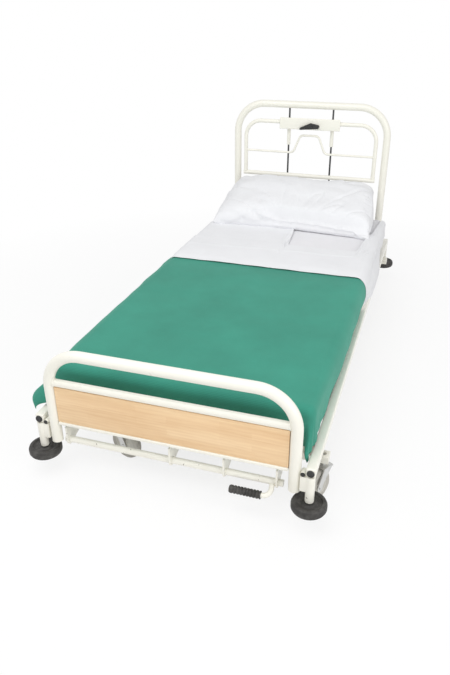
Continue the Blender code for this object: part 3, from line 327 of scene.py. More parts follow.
class BedStage(PropertyGroup):
    """Camera and light."""
    eye: spot("Eye", (0.725, -2.661, 1.541), "Camera place")
    azimuth: number("Azimuth", radians(18.41), "Turn of the camera", subtype="ANGLE")
    elevation: number("Elevation", radians(28.26), "Height angle", subtype="ANGLE")
    roll: number("Roll", radians(-0.44), "Lean of the camera", subtype="ANGLE")
    lens: number("Lens", 34.33, "Focal length for a 36 mm long side", unit="CAMERA")
    sky: number("Sky", 0.55, "Strength of the even light")
    key: number("Key", 64.0, "Power of the overhead light", unit="POWER")
    key_size: length("Key size", 3.0, "Width of the overhead light")
    key_at: spot("Key place", (-0.5, -1.7, 3.2), "Where the overhead light hangs")
    key_aim: spot("Key aim", (0.0, 0.0, 0.3), "Where the overhead light points")
    fill: number("Fill", 50.0, "Power of the front light", unit="POWER")
    fill_size: length("Fill size", 2.6, "Width of the front light")
    fill_at: spot("Fill place", (3.5, -2.3, 1.7), "Where the front light stands")
    fill_aim: spot("Fill aim", (0.0, 0.0, 0.4), "Where the front light points")
    floor: colour("Floor", (0.93, 0.93, 0.93), "Pale floor")
    floor_size: length("Floor size", 30.0, "Half width of the floor")
    white_near: number("White near", 0.80, "Share of plain white on the floor by the bed")
    white_start: length("White start", 0.9, "Distance from the bed at which the floor begins to whiten")
    white_from: length("White from", 2.4, "Distance from the bed at which the floor is plain white")


def paint():
    """The colours in use."""
    return bpy.context.scene.bed_paint


def sizes():
    """The sizes in use."""
    return bpy.context.scene.bed_sizes


def linen():
    """The bedding's values in use."""
    return bpy.context.scene.bed_linen


# Materials


def blank(name):
    """A new material with its node tree and its shader."""
    material = bpy.data.materials.new(name)
    material.use_nodes = True
    return material, material.node_tree, material.node_tree.nodes["Principled BSDF"]


def put(tree, kind, values=None, **settings):
    """Add a node with its settings and the values of its sockets."""
    made = tree.nodes.new("ShaderNode" + kind)
    for key, value in settings.items():
        setattr(made, key, value)
    for key, value in (values or {}).items():
        if isinstance(value, bpy.types.NodeSocket):
            tree.links.new(value, made.inputs[key])
        else:
            made.inputs[key].default_value = value
    return made


def rgba(value):
    """A colour with full cover."""
    return (*value, 1.0)


def place(tree, scale=(1.0, 1.0, 1.0), source="Object"):
    """Coordinates of the piece, stretched as asked."""
    coordinates = put(tree, "TexCoord")
    return put(tree, "Mapping", {"Vector": coordinates.outputs[source], "Scale": scale}).outputs["Vector"]


def speckle(tree, where, scale, detail=4.0, roughness=0.55):
    """A cloud of noise from 0 to 1."""
    return put(tree, "TexNoise", {"Vector": where, "Scale": scale, "Detail": detail,
                                  "Roughness": roughness}).outputs["Fac"]


def remap(tree, value, low, high, to_low=0.0, to_high=1.0):
    """Stretch a value between two limits."""
    return put(tree, "MapRange", {"Value": value, "From Min": low, "From Max": high, "To Min": to_low,
                                  "To Max": to_high}).outputs["Result"]


def blend_colour(tree, share, first, second):
    """Two colours mixed by a share."""
    mixed = put(tree, "Mix", data_type="RGBA")
    for socket, value in ((0, share), (6, first), (7, second)):
        if isinstance(value, bpy.types.NodeSocket):
            tree.links.new(value, mixed.inputs[socket])
        else:
            mixed.inputs[socket].default_value = value
    return mixed.outputs[2]


def times(tree, first, second):
    """The product of two values."""
    return put(tree, "Math", {0: first, 1: second}, operation="MULTIPLY").outputs[0]


def plus(tree, first, second):
    """The sum of two values."""
    return put(tree, "Math", {0: first, 1: second}, operation="ADD").outputs[0]


def emboss(tree, shader, height, strength, distance):
    """Give the shader a bump from a height."""
    bump = put(tree, "Bump", {"Height": height, "Strength": strength, "Distance": distance})
    tree.links.new(bump.outputs["Normal"], shader.inputs["Normal"])


def enamel_finish():
    """Cream enamel: soft gloss, faint orange peel, rubbed and chipped low down."""
    material, tree, shader = blank("cream_enamel")
    where = place(tree)
    height = put(tree, "SeparateXYZ", {"Vector": where}).outputs["Z"]
    low = remap(tree, height, WEAR_TOP, WEAR_FULL)
    blotches = remap(tree, speckle(tree, where, 9.0, 5.0), 0.48, 0.74)
    rubbed = times(tree, blotches, remap(tree, low, 0.0, 1.0, 0.12, 0.85))
    tone = blend_colour(tree, rubbed, rgba(paint().enamel), rgba(paint().enamel_worn))
    flecks = remap(tree, speckle(tree, where, 70.0, 2.0), 0.70, 0.73)
    chips = times(tree, flecks, remap(tree, low, 0.2, 0.8))
    tree.links.new(blend_colour(tree, chips, tone, CHIP), shader.inputs["Base Color"])
    gloss = remap(tree, speckle(tree, where, 24.0), 0.3, 0.7, 0.27, 0.40)
    tree.links.new(gloss, shader.inputs["Roughness"])
    shader.inputs["Coat Weight"].default_value = 0.25
    shader.inputs["Coat Roughness"].default_value = 0.18
    peel = plus(tree, speckle(tree, where, 320.0, 1.0), times(tree, chips, -2.0))
    emboss(tree, shader, peel, 0.10, 0.0006)
    return material


def laminate_finish():
    """Pale beech laminate in glued strips, with its figure along the board."""
    material, tree, shader = blank("beech_laminate")
    figure = speckle(tree, place(tree, (1.6, 9.0, 12.0)), 2.2, 6.0, 0.62)
    fine = speckle(tree, place(tree, (5.0, 40.0, 190.0)), 3.0, 5.0, 0.6)
    rings = put(tree, "TexWave", {"Vector": place(tree, (0.55, 1.0, 6.0)), "Scale": 4.2, "Distortion": 7.0,
                                  "Detail": 3.0, "Detail Scale": 1.2},
                wave_type="BANDS", bands_direction="Z").outputs["Fac"]
    axes = put(tree, "SeparateXYZ", {"Vector": place(tree)}).outputs
    face = put(tree, "CombineXYZ", {"X": axes["X"], "Y": axes["Z"]}).outputs[0]
    strips = put(tree, "TexBrick", {"Vector": face, "Color1": BLACK, "Color2": WHITE,
                                    "Mortar": (0.9, 0.9, 0.9, 1.0), "Scale": 1.0, "Mortar Size": STRIP_JOINT,
                                    "Brick Width": STRIP_LENGTH, "Row Height": STRIP_WIDTH},
                 offset=0.37).outputs["Color"]
    grain = plus(tree, times(tree, remap(tree, fine, 0.45, 0.75), 0.22), times(tree, rings, 0.14))
    board = plus(tree, times(tree, remap(tree, figure, 0.35, 0.70), 0.44), times(tree, strips, 0.22))
    share = plus(tree, board, grain)
    tone = blend_colour(tree, share, rgba(paint().laminate), rgba(paint().laminate_dark))
    tree.links.new(tone, shader.inputs["Base Color"])
    tree.links.new(remap(tree, fine, 0.3, 0.8, 0.36, 0.50), shader.inputs["Roughness"])
    emboss(tree, shader, fine, 0.12, 0.0004)
    return material


def rubber_finish(name, tone, dust, roughness, grain):
    """Moulded rubber or plastic with dust in its pores."""
    material, tree, shader = blank(name)
    where = place(tree)
    dusty = times(tree, remap(tree, speckle(tree, where, 34.0, 6.0), 0.46, 0.80), dust)
    tree.links.new(blend_colour(tree, dusty, rgba(tone), DUST), shader.inputs["Base Color"])
    spread = remap(tree, speckle(tree, where, 60.0), 0.3, 0.7, roughness - 0.08, roughness + 0.08)
    tree.links.new(spread, shader.inputs["Roughness"])
    emboss(tree, shader, speckle(tree, where, grain, 3.0), 0.16, 0.0006)
    return material


def steel_finish(name, tone, roughness):
    """Plated steel with faint drawing marks and tarnish."""
    material, tree, shader = blank(name)
    tarnish = remap(tree, speckle(tree, place(tree), 18.0, 6.0), 0.40, 0.75, 0.0, 0.55)
    mixed = blend_colour(tree, tarnish, rgba(tone), rgba([0.55 * value for value in tone]))
    tree.links.new(mixed, shader.inputs["Base Color"])
    shader.inputs["Metallic"].default_value = 0.9
    marks = speckle(tree, place(tree, (90.0, 90.0, 6.0)), 5.0, 3.0)
    spread = remap(tree, marks, 0.3, 0.7, roughness - 0.06, roughness + 0.08)
    tree.links.new(spread, shader.inputs["Roughness"])
    emboss(tree, shader, marks, 0.05, 0.0003)
    return material


def weave(tree, where, pitch):
    """The height of a plain weave: warp and weft ribs that cross."""
    thread = {"Vector": where, "Scale": 0.5 / pitch, "Distortion": 0.6, "Detail": 1.0, "Detail Scale": 2.0}
    warp = put(tree, "TexWave", thread, wave_type="BANDS", bands_direction="X").outputs["Fac"]
    weft = put(tree, "TexWave", thread, wave_type="BANDS", bands_direction="Y").outputs["Fac"]
    return plus(tree, warp, weft)


def cotton_finish(name, tone, source):
    """White cotton: fine weave, faint creases and a soft sheen."""
    material, tree, shader = blank(name)
    where = place(tree, source=source)
    patches = remap(tree, speckle(tree, where, 7.0, 5.0), 0.3, 0.7)
    mixed = blend_colour(tree, patches, rgba(tone), rgba([0.955 * value for value in tone]))
    tree.links.new(mixed, shader.inputs["Base Color"])
    shader.inputs["Roughness"].default_value = 0.86
    shader.inputs["Sheen Weight"].default_value = 0.12
    shader.inputs["Sheen Roughness"].default_value = 0.5
    creases = put(tree, "TexNoise", {"Vector": where, "Scale": 16.0, "Detail": 5.0, "Roughness": 0.6,
                                     "Distortion": 0.8}).outputs["Fac"]
    height = plus(tree, creases, times(tree, weave(tree, where, COTTON_PITCH), 0.05))
    emboss(tree, shader, height, 0.28, 0.004)
    return material


def blanket_finish():
    """Green wool: close ribs across the bed, a napped surface and worn lighter threads."""
    material, tree, shader = blank("green_blanket")
    where = place(tree, source="UV")
    ribs = put(tree, "TexWave", {"Vector": where, "Scale": 62.0, "Distortion": 1.2, "Detail": 2.0,
                                 "Detail Scale": 1.5}, wave_type="BANDS", bands_direction="Y").outputs["Fac"]
    nap = speckle(tree, where, 210.0, 3.0)
    patches = remap(tree, speckle(tree, where, 3.2, 6.0, 0.6), 0.30, 0.70)
    tone = paint().blanket
    deep = rgba([0.86 * value for value in tone])
    light = rgba([1.12 * value for value in tone])
    faded = rgba([min(1.9 * value + 0.012, 1.0) for value in tone])
    fibres = plus(tree, times(tree, ribs, 0.5), times(tree, nap, 0.5))
    threads = times(tree, remap(tree, fibres, 0.35, 0.85), 0.20)
    worn = blend_colour(tree, threads, blend_colour(tree, patches, deep, light), faded)
    tree.links.new(worn, shader.inputs["Base Color"])
    shader.inputs["Roughness"].default_value = 0.94
    shader.inputs["Sheen Weight"].default_value = 0.30
    shader.inputs["Sheen Roughness"].default_value = 0.45
    shader.inputs["Sheen Tint"].default_value = (0.45, 0.85, 0.70, 1.0)
    height = plus(tree, times(tree, ribs, 0.5), times(tree, nap, 0.6))
    emboss(tree, shader, height, 0.35, 0.0014)
    return material


MATERIALS = {}


def make_materials():
    """Every finish of the bed, by the name of its slot."""
    MATERIALS["cream_enamel"] = enamel_finish()
    MATERIALS["beech_laminate"] = laminate_finish()
    MATERIALS["black_rubber"] = rubber_finish("black_rubber", paint().rubber, 0.22, 0.62, 420.0)
    MATERIALS["black_plastic"] = rubber_finish("black_plastic", paint().plastic, 0.08, 0.42, 600.0)
    MATERIALS["grey_tyre"] = rubber_finish("grey_tyre", paint().tyre, 0.30, 0.70, 380.0)
    MATERIALS["grey_hub"] = rubber_finish("grey_hub", paint().hub, 0.16, 0.48, 500.0)
    MATERIALS["bright_steel"] = steel_finish("bright_steel", paint().steel, 0.34)
    MATERIALS["dark_steel"] = steel_finish("dark_steel", paint().dark_steel, 0.40)
    MATERIALS["white_cotton"] = cotton_finish("white_cotton", paint().cotton, "UV")
    MATERIALS["pillow_cotton"] = cotton_finish("pillow_cotton", paint().cotton, "Object")
    MATERIALS["mattress_cover"] = cotton_finish("mattress_cover", paint().ticking, "Object")
    MATERIALS["green_blanket"] = blanket_finish()


# Mesh helpers


def publish(name, mesh, finish, body, nodes=()):
    """Turn a finished bmesh into a piece that rides on a body and stands for its nodes."""
    data = bpy.data.meshes.new(name)
    mesh.to_mesh(data)
    mesh.free()
    data.materials.append(MATERIALS[finish])
    data.shade_smooth()
    data.set_sharp_from_angle(angle=SMOOTH_ANGLE)
    piece = bpy.data.objects.new(name, data)
    bpy.context.scene.collection.objects.link(piece)
    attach(piece, body)
    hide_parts(*nodes)
    return piece


def facing(direction):
    """A turn that takes Z to a direction."""
    return Vector(direction).to_track_quat("Z", "Y").to_matrix().to_4x4()


def round_edges(mesh, verts, offset, steps=3, sharp=radians(30.0)):
    """Round the sharp edges among some vertices."""
    chosen = {edge for vert in verts for edge in vert.link_edges if len(edge.link_faces) == 2}
    edges = [edge for edge in mesh.edges if edge in chosen and edge.calc_face_angle() > sharp]
    bmesh.ops.bevel(mesh, geom=edges, offset=offset, offset_type="OFFSET", segments=steps, profile=0.5,
                    affect="EDGES", clamp_overlap=True, material=-1)


def block(mesh, low, high, rounding=0.0, steps=3):
    """A box between two corners, with rounded edges."""
    low, high = Vector(low), Vector(high)
    span = Matrix.Diagonal((*(high - low), 1.0))
    made = bmesh.ops.create_cube(mesh, size=1.0, matrix=Matrix.Translation((low + high) / 2) @ span)
    if rounding:
        round_edges(mesh, made["verts"], rounding, steps)


def tube(mesh, points, bend, radius):
    """A round bar along straight runs with bends between them, closed at both ends."""
    points = [Vector(point) for point in points]
    start = Matrix.Translation(points[0]) @ facing(points[1] - points[0])
    first = set(mesh.faces)
    made = bmesh.ops.create_circle(mesh, cap_ends=True, radius=radius, segments=sizes().tube_sides,
                                   matrix=start)
    edges = list({edge for vert in made["verts"] for edge in vert.link_edges})
    here = points[0]
    for index in range(1, len(points)):
        heading = (points[index] - points[index - 1]).normalized()
        goal = points[index]
        last = index == len(points) - 1
        if not last:
            onward = (points[index + 1] - points[index]).normalized()
            turn = heading.angle(onward)
            goal = points[index] - heading * bend * sin(turn / 2) / cos(turn / 2)
        grown = bmesh.ops.extrude_edge_only(mesh, edges=edges)["geom"]
        moved = [item for item in grown if isinstance(item, bmesh.types.BMVert)]
        edges = [item for item in grown if isinstance(item, bmesh.types.BMEdge)]
        bmesh.ops.translate(mesh, verts=moved, vec=goal - here)
        here = goal
        if not last:
            axis = heading.cross(onward).normalized()
            centre = goal + axis.cross(heading) * bend
            spun = bmesh.ops.spin(mesh, geom=edges, cent=centre, axis=axis, angle=turn,
                                  steps=sizes().bend_steps, use_duplicate=False)["geom_last"]
            edges = [item for item in spun if isinstance(item, bmesh.types.BMEdge)]
            here = centre + Matrix.Rotation(turn, 3, axis) @ (goal - centre)
    bmesh.ops.contextual_create(mesh, geom=edges)
    bmesh.ops.recalc_face_normals(mesh, faces=[face for face in mesh.faces if face not in first])


def turned(mesh, profile, foot, axis, sides=48, rounding=0.0):
    """A turned shape: pairs of radius and distance along an axis, swept full circle."""
    foot, axis = Vector(foot), Vector(axis).normalized()
    side = axis.orthogonal().normalized()
    before = set(mesh.verts)
    line = [mesh.verts.new(foot + side * radius + axis * along) for radius, along in profile]
    edges = [mesh.edges.new(pair) for pair in zip(line, line[1:])]
    bmesh.ops.spin(mesh, geom=line + edges, cent=foot, axis=axis, angle=2 * pi, steps=sides, use_merge=True)
    bmesh.ops.remove_doubles(mesh, verts=[vert for vert in mesh.verts if vert not in before], dist=1e-6)
    made = [vert for vert in mesh.verts if vert not in before]
    faces = list({face for vert in made for face in vert.link_faces})
    bmesh.ops.recalc_face_normals(mesh, faces=faces)
    if rounding:
        round_edges(mesh, made, rounding, 3)


def ring(mesh, centre, axis, across, thick):
    """A bead of weld round a bar."""
    axis = Vector(axis).normalized()
    side = axis.orthogonal().normalized()
    before = set(mesh.verts)
    start = Matrix.Translation(Vector(centre) + side * across) @ facing(side.cross(axis))
    made = bmesh.ops.create_circle(mesh, radius=thick, segments=WELD_SIDES, matrix=start)
    edges = list({edge for vert in made["verts"] for edge in vert.link_edges})
    bmesh.ops.spin(mesh, geom=made["verts"] + edges, cent=centre, axis=axis, angle=2 * pi,
                   steps=WELD_STEPS, use_merge=True)
    verts = [vert for vert in mesh.verts if vert not in before]
    bmesh.ops.recalc_face_normals(mesh, faces=list({face for vert in verts for face in vert.link_faces}))


def copied(node):
    """A merged copy of a node's mesh with its flat faces whole again."""
    mesh = bmesh.new()
    mesh.from_mesh(frame["nodes"][node].data)
    bmesh.ops.remove_doubles(mesh, verts=mesh.verts, dist=2e-5)
    bmesh.ops.dissolve_limit(mesh, angle_limit=radians(0.6), verts=mesh.verts, edges=mesh.edges)
    return mesh


def scaled(shares, radius, along):
    """A profile from shares of a radius and of a length."""
    return [(across * radius, step * along) for across, step in shares]


def mirrored(side, radius, half, inner, seat):
    """A closed profile that is alike on both sides of its middle, with a seat round its bore."""
    near = scaled(side, radius, half)
    far = [(across, -along) for across, along in reversed(near)]
    return [(inner, -seat * half)] + far + near + [(inner, seat * half), (inner, -seat * half)]


def plain(name, node, finish, body, easing=0.0):
    """A piece with a node's own form, its sharp edges eased so that they catch light."""
    piece = publish(name, copied(node), finish, body, [node])
    if easing:
        bevel = piece.modifiers.new("eased_edges", "BEVEL")
        bevel.width = easing
        bevel.segments = 2
        bevel.limit_method = "ANGLE"
        bevel.angle_limit = EASE_ANGLE
        bevel.harden_normals = False


def slab(name, node, finish, body, rounding, steps):
    """A rounded block that fills a node's box."""
    mesh = bmesh.new()
    block(mesh, *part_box(node), rounding, steps)
    publish(name, mesh, finish, body, [node])


def box_of(node):
    """A node's lowest corner, highest corner and middle."""
    low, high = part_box(node)
    return low, high, (low + high) / 2


# Rigid pieces


def end_hoop(name, node, bend):
    """An end hoop: one tube with two bends, with rolled lips at its open ends."""
    low, high, middle = box_of(node)
    radius = (high.y - low.y) / 2
    leg = (high.x - low.x) / 2 - radius
    crown = high.z - radius
    y = middle.y
    mesh = bmesh.new()
    tube(mesh, [(-leg, y, low.z), (-leg, y, crown), (leg, y, crown), (leg, y, low.z)], bend, radius)
    for x in (-leg, leg):
        ring(mesh, (x, y, low.z + HOOP_LIP), (0, 0, 1), radius - HOOP_LIP, HOOP_LIP)
    publish(name, mesh, "cream_enamel", "bed_frame", [node])


def foot_end():
    """The foot hoop, its rail, the laminate panel and the trim under it."""
    end_hoop("foot_hoop_tube", "foot_hoop", sizes().foot_corner)
    low, high, middle = box_of("foot_mid_rail")
    radius = (high.z - low.z) / 2
    mesh = bmesh.new()
    tube(mesh, [(low.x, middle.y, middle.z), (high.x, middle.y, middle.z)], 0.0, radius)
    for x in (low.x + RAIL_WELD_IN, high.x - RAIL_WELD_IN):
        ring(mesh, (x, middle.y, middle.z), (1, 0, 0), radius, WELD_BEAD)
    publish("foot_rail_tube", mesh, "cream_enamel", "bed_frame", ["foot_mid_rail"])
    slab("foot_panel_board", "foot_panel", "beech_laminate", "bed_frame", 0.0016, 3)
    slab("panel_trim_strip", "panel_trim", "cream_enamel", "bed_frame", 0.0030, 4)


def side_rails():
    """Square side rails with plugs in their ends."""
    for side in ("left", "right"):
        node = "side_rail_" + side
        slab(node + "_tube", node, "cream_enamel", "bed_frame", sizes().rail_round, 5)
    for corner in CORNERS:
        node = "rail_plug_" + corner
        low, high, middle = box_of(node)
        inner, out = (high.y, -1.0) if corner.startswith("foot") else (low.y, 1.0)
        profile = scaled(PLUG_PROFILE, (high.z - low.z) / 2, high.y - low.y)
        mesh = bmesh.new()
        turned(mesh, profile, (middle.x, inner, middle.z), (0, out, 0), 40, 0.0007)
        publish(node + "_cap", mesh, "black_plastic", "bed_frame", [node])


def corner_posts():
    """Corner posts, their bumper rollers and the nuts that hold the rollers."""
    for corner in CORNERS:
        node = "corner_post_" + corner
        plain(node + "_weldment", node, "cream_enamel", "bed_frame", 0.0012)
        node = "bumper_" + corner
        low, high, middle = box_of(node)
        tall = high.z - low.z
        profile = [(ROLLER_BORE, 0.0)] + scaled(ROLLER_PROFILE, (high.x - low.x) / 2, tall)
        profile += [(ROLLER_BORE, ROLLER_BOSS * tall), (ROLLER_BORE, 0.0)]
        mesh = bmesh.new()
        turned(mesh, profile, (middle.x, middle.y, low.z), (0, 0, 1), 72, 0.0016)
        publish(node + "_roller", mesh, "black_rubber", node, [node])
        node = "bumper_nut_" + corner
        plain(node + "_hex", node, "bright_steel", "bed_frame", 0.0009)
        if corner.startswith("foot"):
            leg_stub(corner)


def leg_stub(corner):
    """The short tube on a foot bracket between the leg and the rail, with a black cap in its end."""
    bracket_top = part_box("corner_post_" + corner)[1].z
    leg_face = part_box("foot_hoop")[1].x
    rail_low, rail_high, rail = box_of("side_rail_" + corner.split("_")[1])
    rail_face = abs(rail.x) - (rail_high.x - rail_low.x) / 2
    side = 1.0 if rail.x > 0 else -1.0
    radius = (rail_face - leg_face) / 2 - STUB_GAP
    x = side * (rail_face + leg_face) / 2
    front = rail_low.y
    z = bracket_top + radius - STUB_SINK
    mesh = bmesh.new()
    tube(mesh, [(x, front, z), (x, front + sizes().stub_length, z)], 0.0, radius)
    publish("leg_stub_" + corner, mesh, "cream_enamel", "bed_frame", [])
    cap = radius - STUB_GAP
    dome = [(0.0, 0.0), (cap, 0.0), (cap, 0.0020), (0.6 * cap, 0.0032), (0.0, 0.0034)]
    mesh = bmesh.new()
    turned(mesh, dome, (x, front, z), (0, -1, 0), 32, 0.0004)
    publish("leg_stub_cap_" + corner, mesh, "black_plastic", "bed_frame", [])


def deck_and_chassis():
    """The vented deck, the chassis and the lifting gear under it."""
    for part in ("foot", "middle", "head"):
        node = "deck_section_" + part
        plain(node + "_sheet", node, "cream_enamel", "bed_frame")
    for node in ("chassis_rail_left", "chassis_rail_right", "chassis_beam_foot", "chassis_beam_head"):
        plain(node + "_weldment", node, "cream_enamel", "chassis", 0.0015)
    for part in ("foot", "head"):
        node = "lift_arms_" + part
        plain(node + "_weldment", node, "cream_enamel", part + "_arms", 0.0010)
    plain("pump_body", "pump_unit", "black_plastic", "chassis", 0.0012)
    plain("ram_rod_bar", "ram_rod", "bright_steel", "ram", 0.0008)


def castors():
    """Swivel castors: pressed forks, hubs with a raised boss and grey tyres."""
    for corner in CORNERS:
        node = "castor_fork_" + corner
        plain(node + "_press", node, "bright_steel", "castor_" + corner, 0.0008)
        spin = JOINTS["spin_" + corner]
        centre, axis = Vector(spin["pos_m"]), Vector(spin["axis"]).normalized()
        node = "wheel_hub_" + corner
        arms = [vert.co - centre for vert in frame["nodes"][node].data.vertices]
        half = max(arm.dot(axis) for arm in arms)
        spread = [(arm - axis * arm.dot(axis)).length for arm in arms]
        rim = max(spread) - TYRE_GAP
        mesh = bmesh.new()
        turned(mesh, mirrored(HUB_SIDE, rim, half, min(spread), 1.0), centre, axis, 56, 0.0008)
        publish(node + "_disc", mesh, "grey_hub", "wheel_" + corner, [node])
        node = "wheel_tyre_" + corner
        low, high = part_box(node)
        half = max((vert.co - centre).dot(axis) for vert in frame["nodes"][node].data.vertices)
        profile = mirrored(TYRE_SIDE, (high.z - low.z) / 2, half, rim + TYRE_GAP, TYRE_SEAT)
        mesh = bmesh.new()
        turned(mesh, profile, centre, axis, 80)
        publish(node + "_tread", mesh, "grey_tyre", "wheel_" + corner, [node])


def pedal():
    """The pedal's bar, its bent arm and the ribbed grip."""
    s = sizes()
    low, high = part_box("pedal_bar")
    pivot = Vector(JOINTS["pedal_swing"]["pos_m"])
    grip_low, grip_high, grip = box_of("pedal_grip")
    bar = high.z - pivot.z
    arm = s.pedal_tube / 2
    root = Vector((s.pedal_x, pivot.y, pivot.z))
    elbow = Vector((s.pedal_x, grip.y, grip.z))
    away = (elbow - root).normalized()
    mesh = bmesh.new()
    tube(mesh, [(low.x, pivot.y, pivot.z), (high.x, pivot.y, pivot.z)], 0.0, bar)
    tube(mesh, [root, elbow, (grip_low.x + GRIP_END, grip.y, grip.z)], s.pedal_bend, arm)
    ring(mesh, root + away * (bar + SEAM_GAP), away, arm, WELD_HEAVY)
    publish("pedal_bar_bent", mesh, "cream_enamel", "pedal", ["pedal_bar"])
    radius = (grip_high.z - grip_low.z) / 2
    along = grip_high.x - grip_low.x
    pitch = 0.90 * along / GRIP_RIBS
    profile = [(0.0, 0.0), (0.80 * radius, 0.0), (0.96 * radius, 0.03 * along)]
    for index in range(GRIP_RIBS):
        start = 0.06 * along + pitch * index
        profile += [(across, start + step) for across, step in scaled(RIB_PROFILE, radius, pitch)]
    profile += [(radius, 0.965 * along), (radius, along), (arm + SEAM_GAP, along)]
    mesh = bmesh.new()
    turned(mesh, profile, (grip_low.x, grip.y, grip.z), (1, 0, 0), 40, 0.0005)
    publish("pedal_grip_sleeve", mesh, "black_rubber", "pedal", ["pedal_grip"])


def head_end():
    """The head hoop, the seat of the guide rods and the rods."""
    end_hoop("head_hoop_tube", "head_hoop", sizes().head_corner)
    plain("guide_rod_seat_bar", "guide_rod_seat", "cream_enamel", "bed_frame", 0.0015)
    for side in ("left", "right"):
        node = "guide_rod_" + side
        low, high, middle = box_of(node)
        ends = [(middle.x, middle.y, low.z), (middle.x, middle.y, high.z)]
        mesh = bmesh.new()
        tube(mesh, ends, 0.0, (high.x - low.x) / 2)
        publish(node + "_bar", mesh, "dark_steel", "bed_frame", [node])


def head_slide():
    """The sliding head frame: hoop, lower rail, thin bar with its arch, sleeves and their links."""
    s = sizes()
    low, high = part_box("head_slide_frame")
    rod = box_of("guide_rod_right")[2]
    y = low.y + s.slide_rail / 2
    radius = s.slide_tube / 2
    leg = high.x - s.rail_overrun - radius
    crown = high.z - s.sleeve_rise - radius
    foot = s.slide_rail_z
    bar = s.grab_bar_z
    top = bar + s.arch_height
    arch = [(-leg, bar), (-s.arch_foot, bar), (-s.arch_top, top), (s.arch_top, top), (s.arch_foot, bar),
            (leg, bar)]
    mesh = bmesh.new()
    tube(mesh, [(-leg, y, foot), (-leg, y, crown), (leg, y, crown), (leg, y, foot)], s.slide_corner, radius)
    tube(mesh, [(low.x, y, foot), (high.x, y, foot)], 0.0, s.slide_rail / 2)
    tube(mesh, [(x, y, z) for x, z in arch], s.arch_bend, s.grab_bar / 2)
    for side in (-1, 1):
        ring(mesh, (side * (leg - radius), y, bar), (1, 0, 0), s.grab_bar / 2, WELD_THIN)
        ring(mesh, (side * leg, y, foot + s.slide_rail / 2 - 0.001), (0, 0, 1), radius, WELD_BEAD)
    publish("head_slide_hoop", mesh, "cream_enamel", "head_slide", ["head_slide_frame"])
    bore, wall = s.sleeve_bore / 2, s.sleeve / 2
    sleeve = [(bore, 0.0), (wall, 0.0), (wall, s.sleeve_length), (bore, s.sleeve_length), (bore, 0.0)]
    mesh = bmesh.new()
    for x in (-rod.x, rod.x):
        turned(mesh, sleeve, (x, rod.y, high.z - s.sleeve_length), (0, 0, 1), 36, 0.0008)
        link_low = (x - LINK_HALF, y, crown - LINK_HALF)
        link_high = (x + LINK_HALF, rod.y - bore - SEAM_GAP, crown + LINK_HALF)
        block(mesh, link_low, link_high, 0.0015, 2)
    publish("head_slide_sleeves", mesh, "cream_enamel", "head_slide", [])
    slab("cover_plate_pressing", "slide_cover_plate", "cream_enamel", "head_slide", 0.0042, 5)
    plain("lever_pin_turned", "lever_pin", "dark_steel", "head_slide", 0.0006)
    plain("release_lever_wedge", "release_lever", "black_plastic", "lever", 0.0022)


# Soft pieces


def ease(value):
    """A smooth step from 0 to 1."""
    value = min(max(value, 0.0), 1.0)
    return value * value * (3.0 - 2.0 * value)


def cloud(x, y, z=0.0):
    """Smooth noise from about -1 to 1."""
    return noise.noise(Vector((x, y, z)))


def ripple(along, pitch, phase):
    """A row of folds, from -1 to 1."""
    return sin(2 * pi * along / pitch + phase)


def flat_cloth(low, high, head=None):
    """A flat cut of cloth as a grid, with each vertex's place on the cut, in metres."""
    cell = linen().cloth_cell
    across = max(int((high[0] - low[0]) / cell), 2)
    along = max(int((high[1] - low[1]) / cell), 2)
    mesh = bmesh.new()
    bmesh.ops.create_grid(mesh, x_segments=across, y_segments=along, size=1.0)
    cut = {}
    for vert in mesh.verts:
        s = low[0] + (high[0] - low[0]) * (vert.co.x + 1.0) / 2.0
        top = head(s) if head else high[1]
        cut[vert] = (s, low[1] + (top - low[1]) * (vert.co.y + 1.0) / 2.0)
    thread = mesh.loops.layers.uv.new("cut")
    for face in mesh.faces:
        for loop in face.loops:
            loop[thread].uv = cut[loop.vert]
    return mesh, cut


def over_edge(distance, rounding):
    """How far cloth goes out and down when it runs over a rounded edge."""
    quarter = rounding * pi / 2.0
    if distance < quarter:
        return rounding * sin(distance / rounding), rounding * (1.0 - cos(distance / rounding))
    return rounding, rounding + distance - quarter


def take_shape(piece, frames, cap):
    """Run a piece's simulation, keep its result within a cap, and drop the simulation."""
    scene = bpy.context.scene
    first = [vert.co.copy() for vert in piece.data.vertices]
    for modifier in piece.modifiers:
        if modifier.type == "CLOTH":
            modifier.point_cache.frame_start = 1
            modifier.point_cache.frame_end = frames
    for step in range(1, frames + 1):
        scene.frame_set(step)
    graph = bpy.context.evaluated_depsgraph_get()
    moved = [vert.co.copy() for vert in piece.evaluated_get(graph).data.vertices]
    piece.modifiers.clear()
    scene.frame_set(1)
    for vert, old, new in zip(piece.data.vertices, first, moved):
        step = new - old
        if step.length > cap:
            step *= cap / step.length
        vert.co = old + step
    piece.data.update()


def set_all(settings, values):
    """Set several values at once."""
    for name, value in values.items():
        setattr(settings, name, value)


def settle(piece, under, frames, held, cap):
    """Let cloth hang and come to rest on what is under it."""
    group = piece.vertex_groups.new(name="held")
    for index, weight in held.items():
        group.add([index], weight, "REPLACE")
    for other in under:
        other.modifiers.new("under_cloth", "COLLISION")
        other.collision.thickness_outer = UNDER_GAP
        other.collision.cloth_friction = UNDER_FRICTION
    cloth = piece.modifiers.new("settling", "CLOTH")
    set_all(cloth.settings, SETTLING)
    cloth.collision_settings.distance_min = CLOTH_GAP
    cloth.collision_settings.use_self_collision = False
    take_shape(piece, frames, cap)
    for other in under:
        other.modifiers.remove(other.modifiers["under_cloth"])
    piece.vertex_groups.clear()


def refine(piece):
    """Give a soft piece a finer surface."""
    finer = piece.modifiers.new("finer", "SUBSURF")
    finer.levels = 1
    finer.render_levels = 1


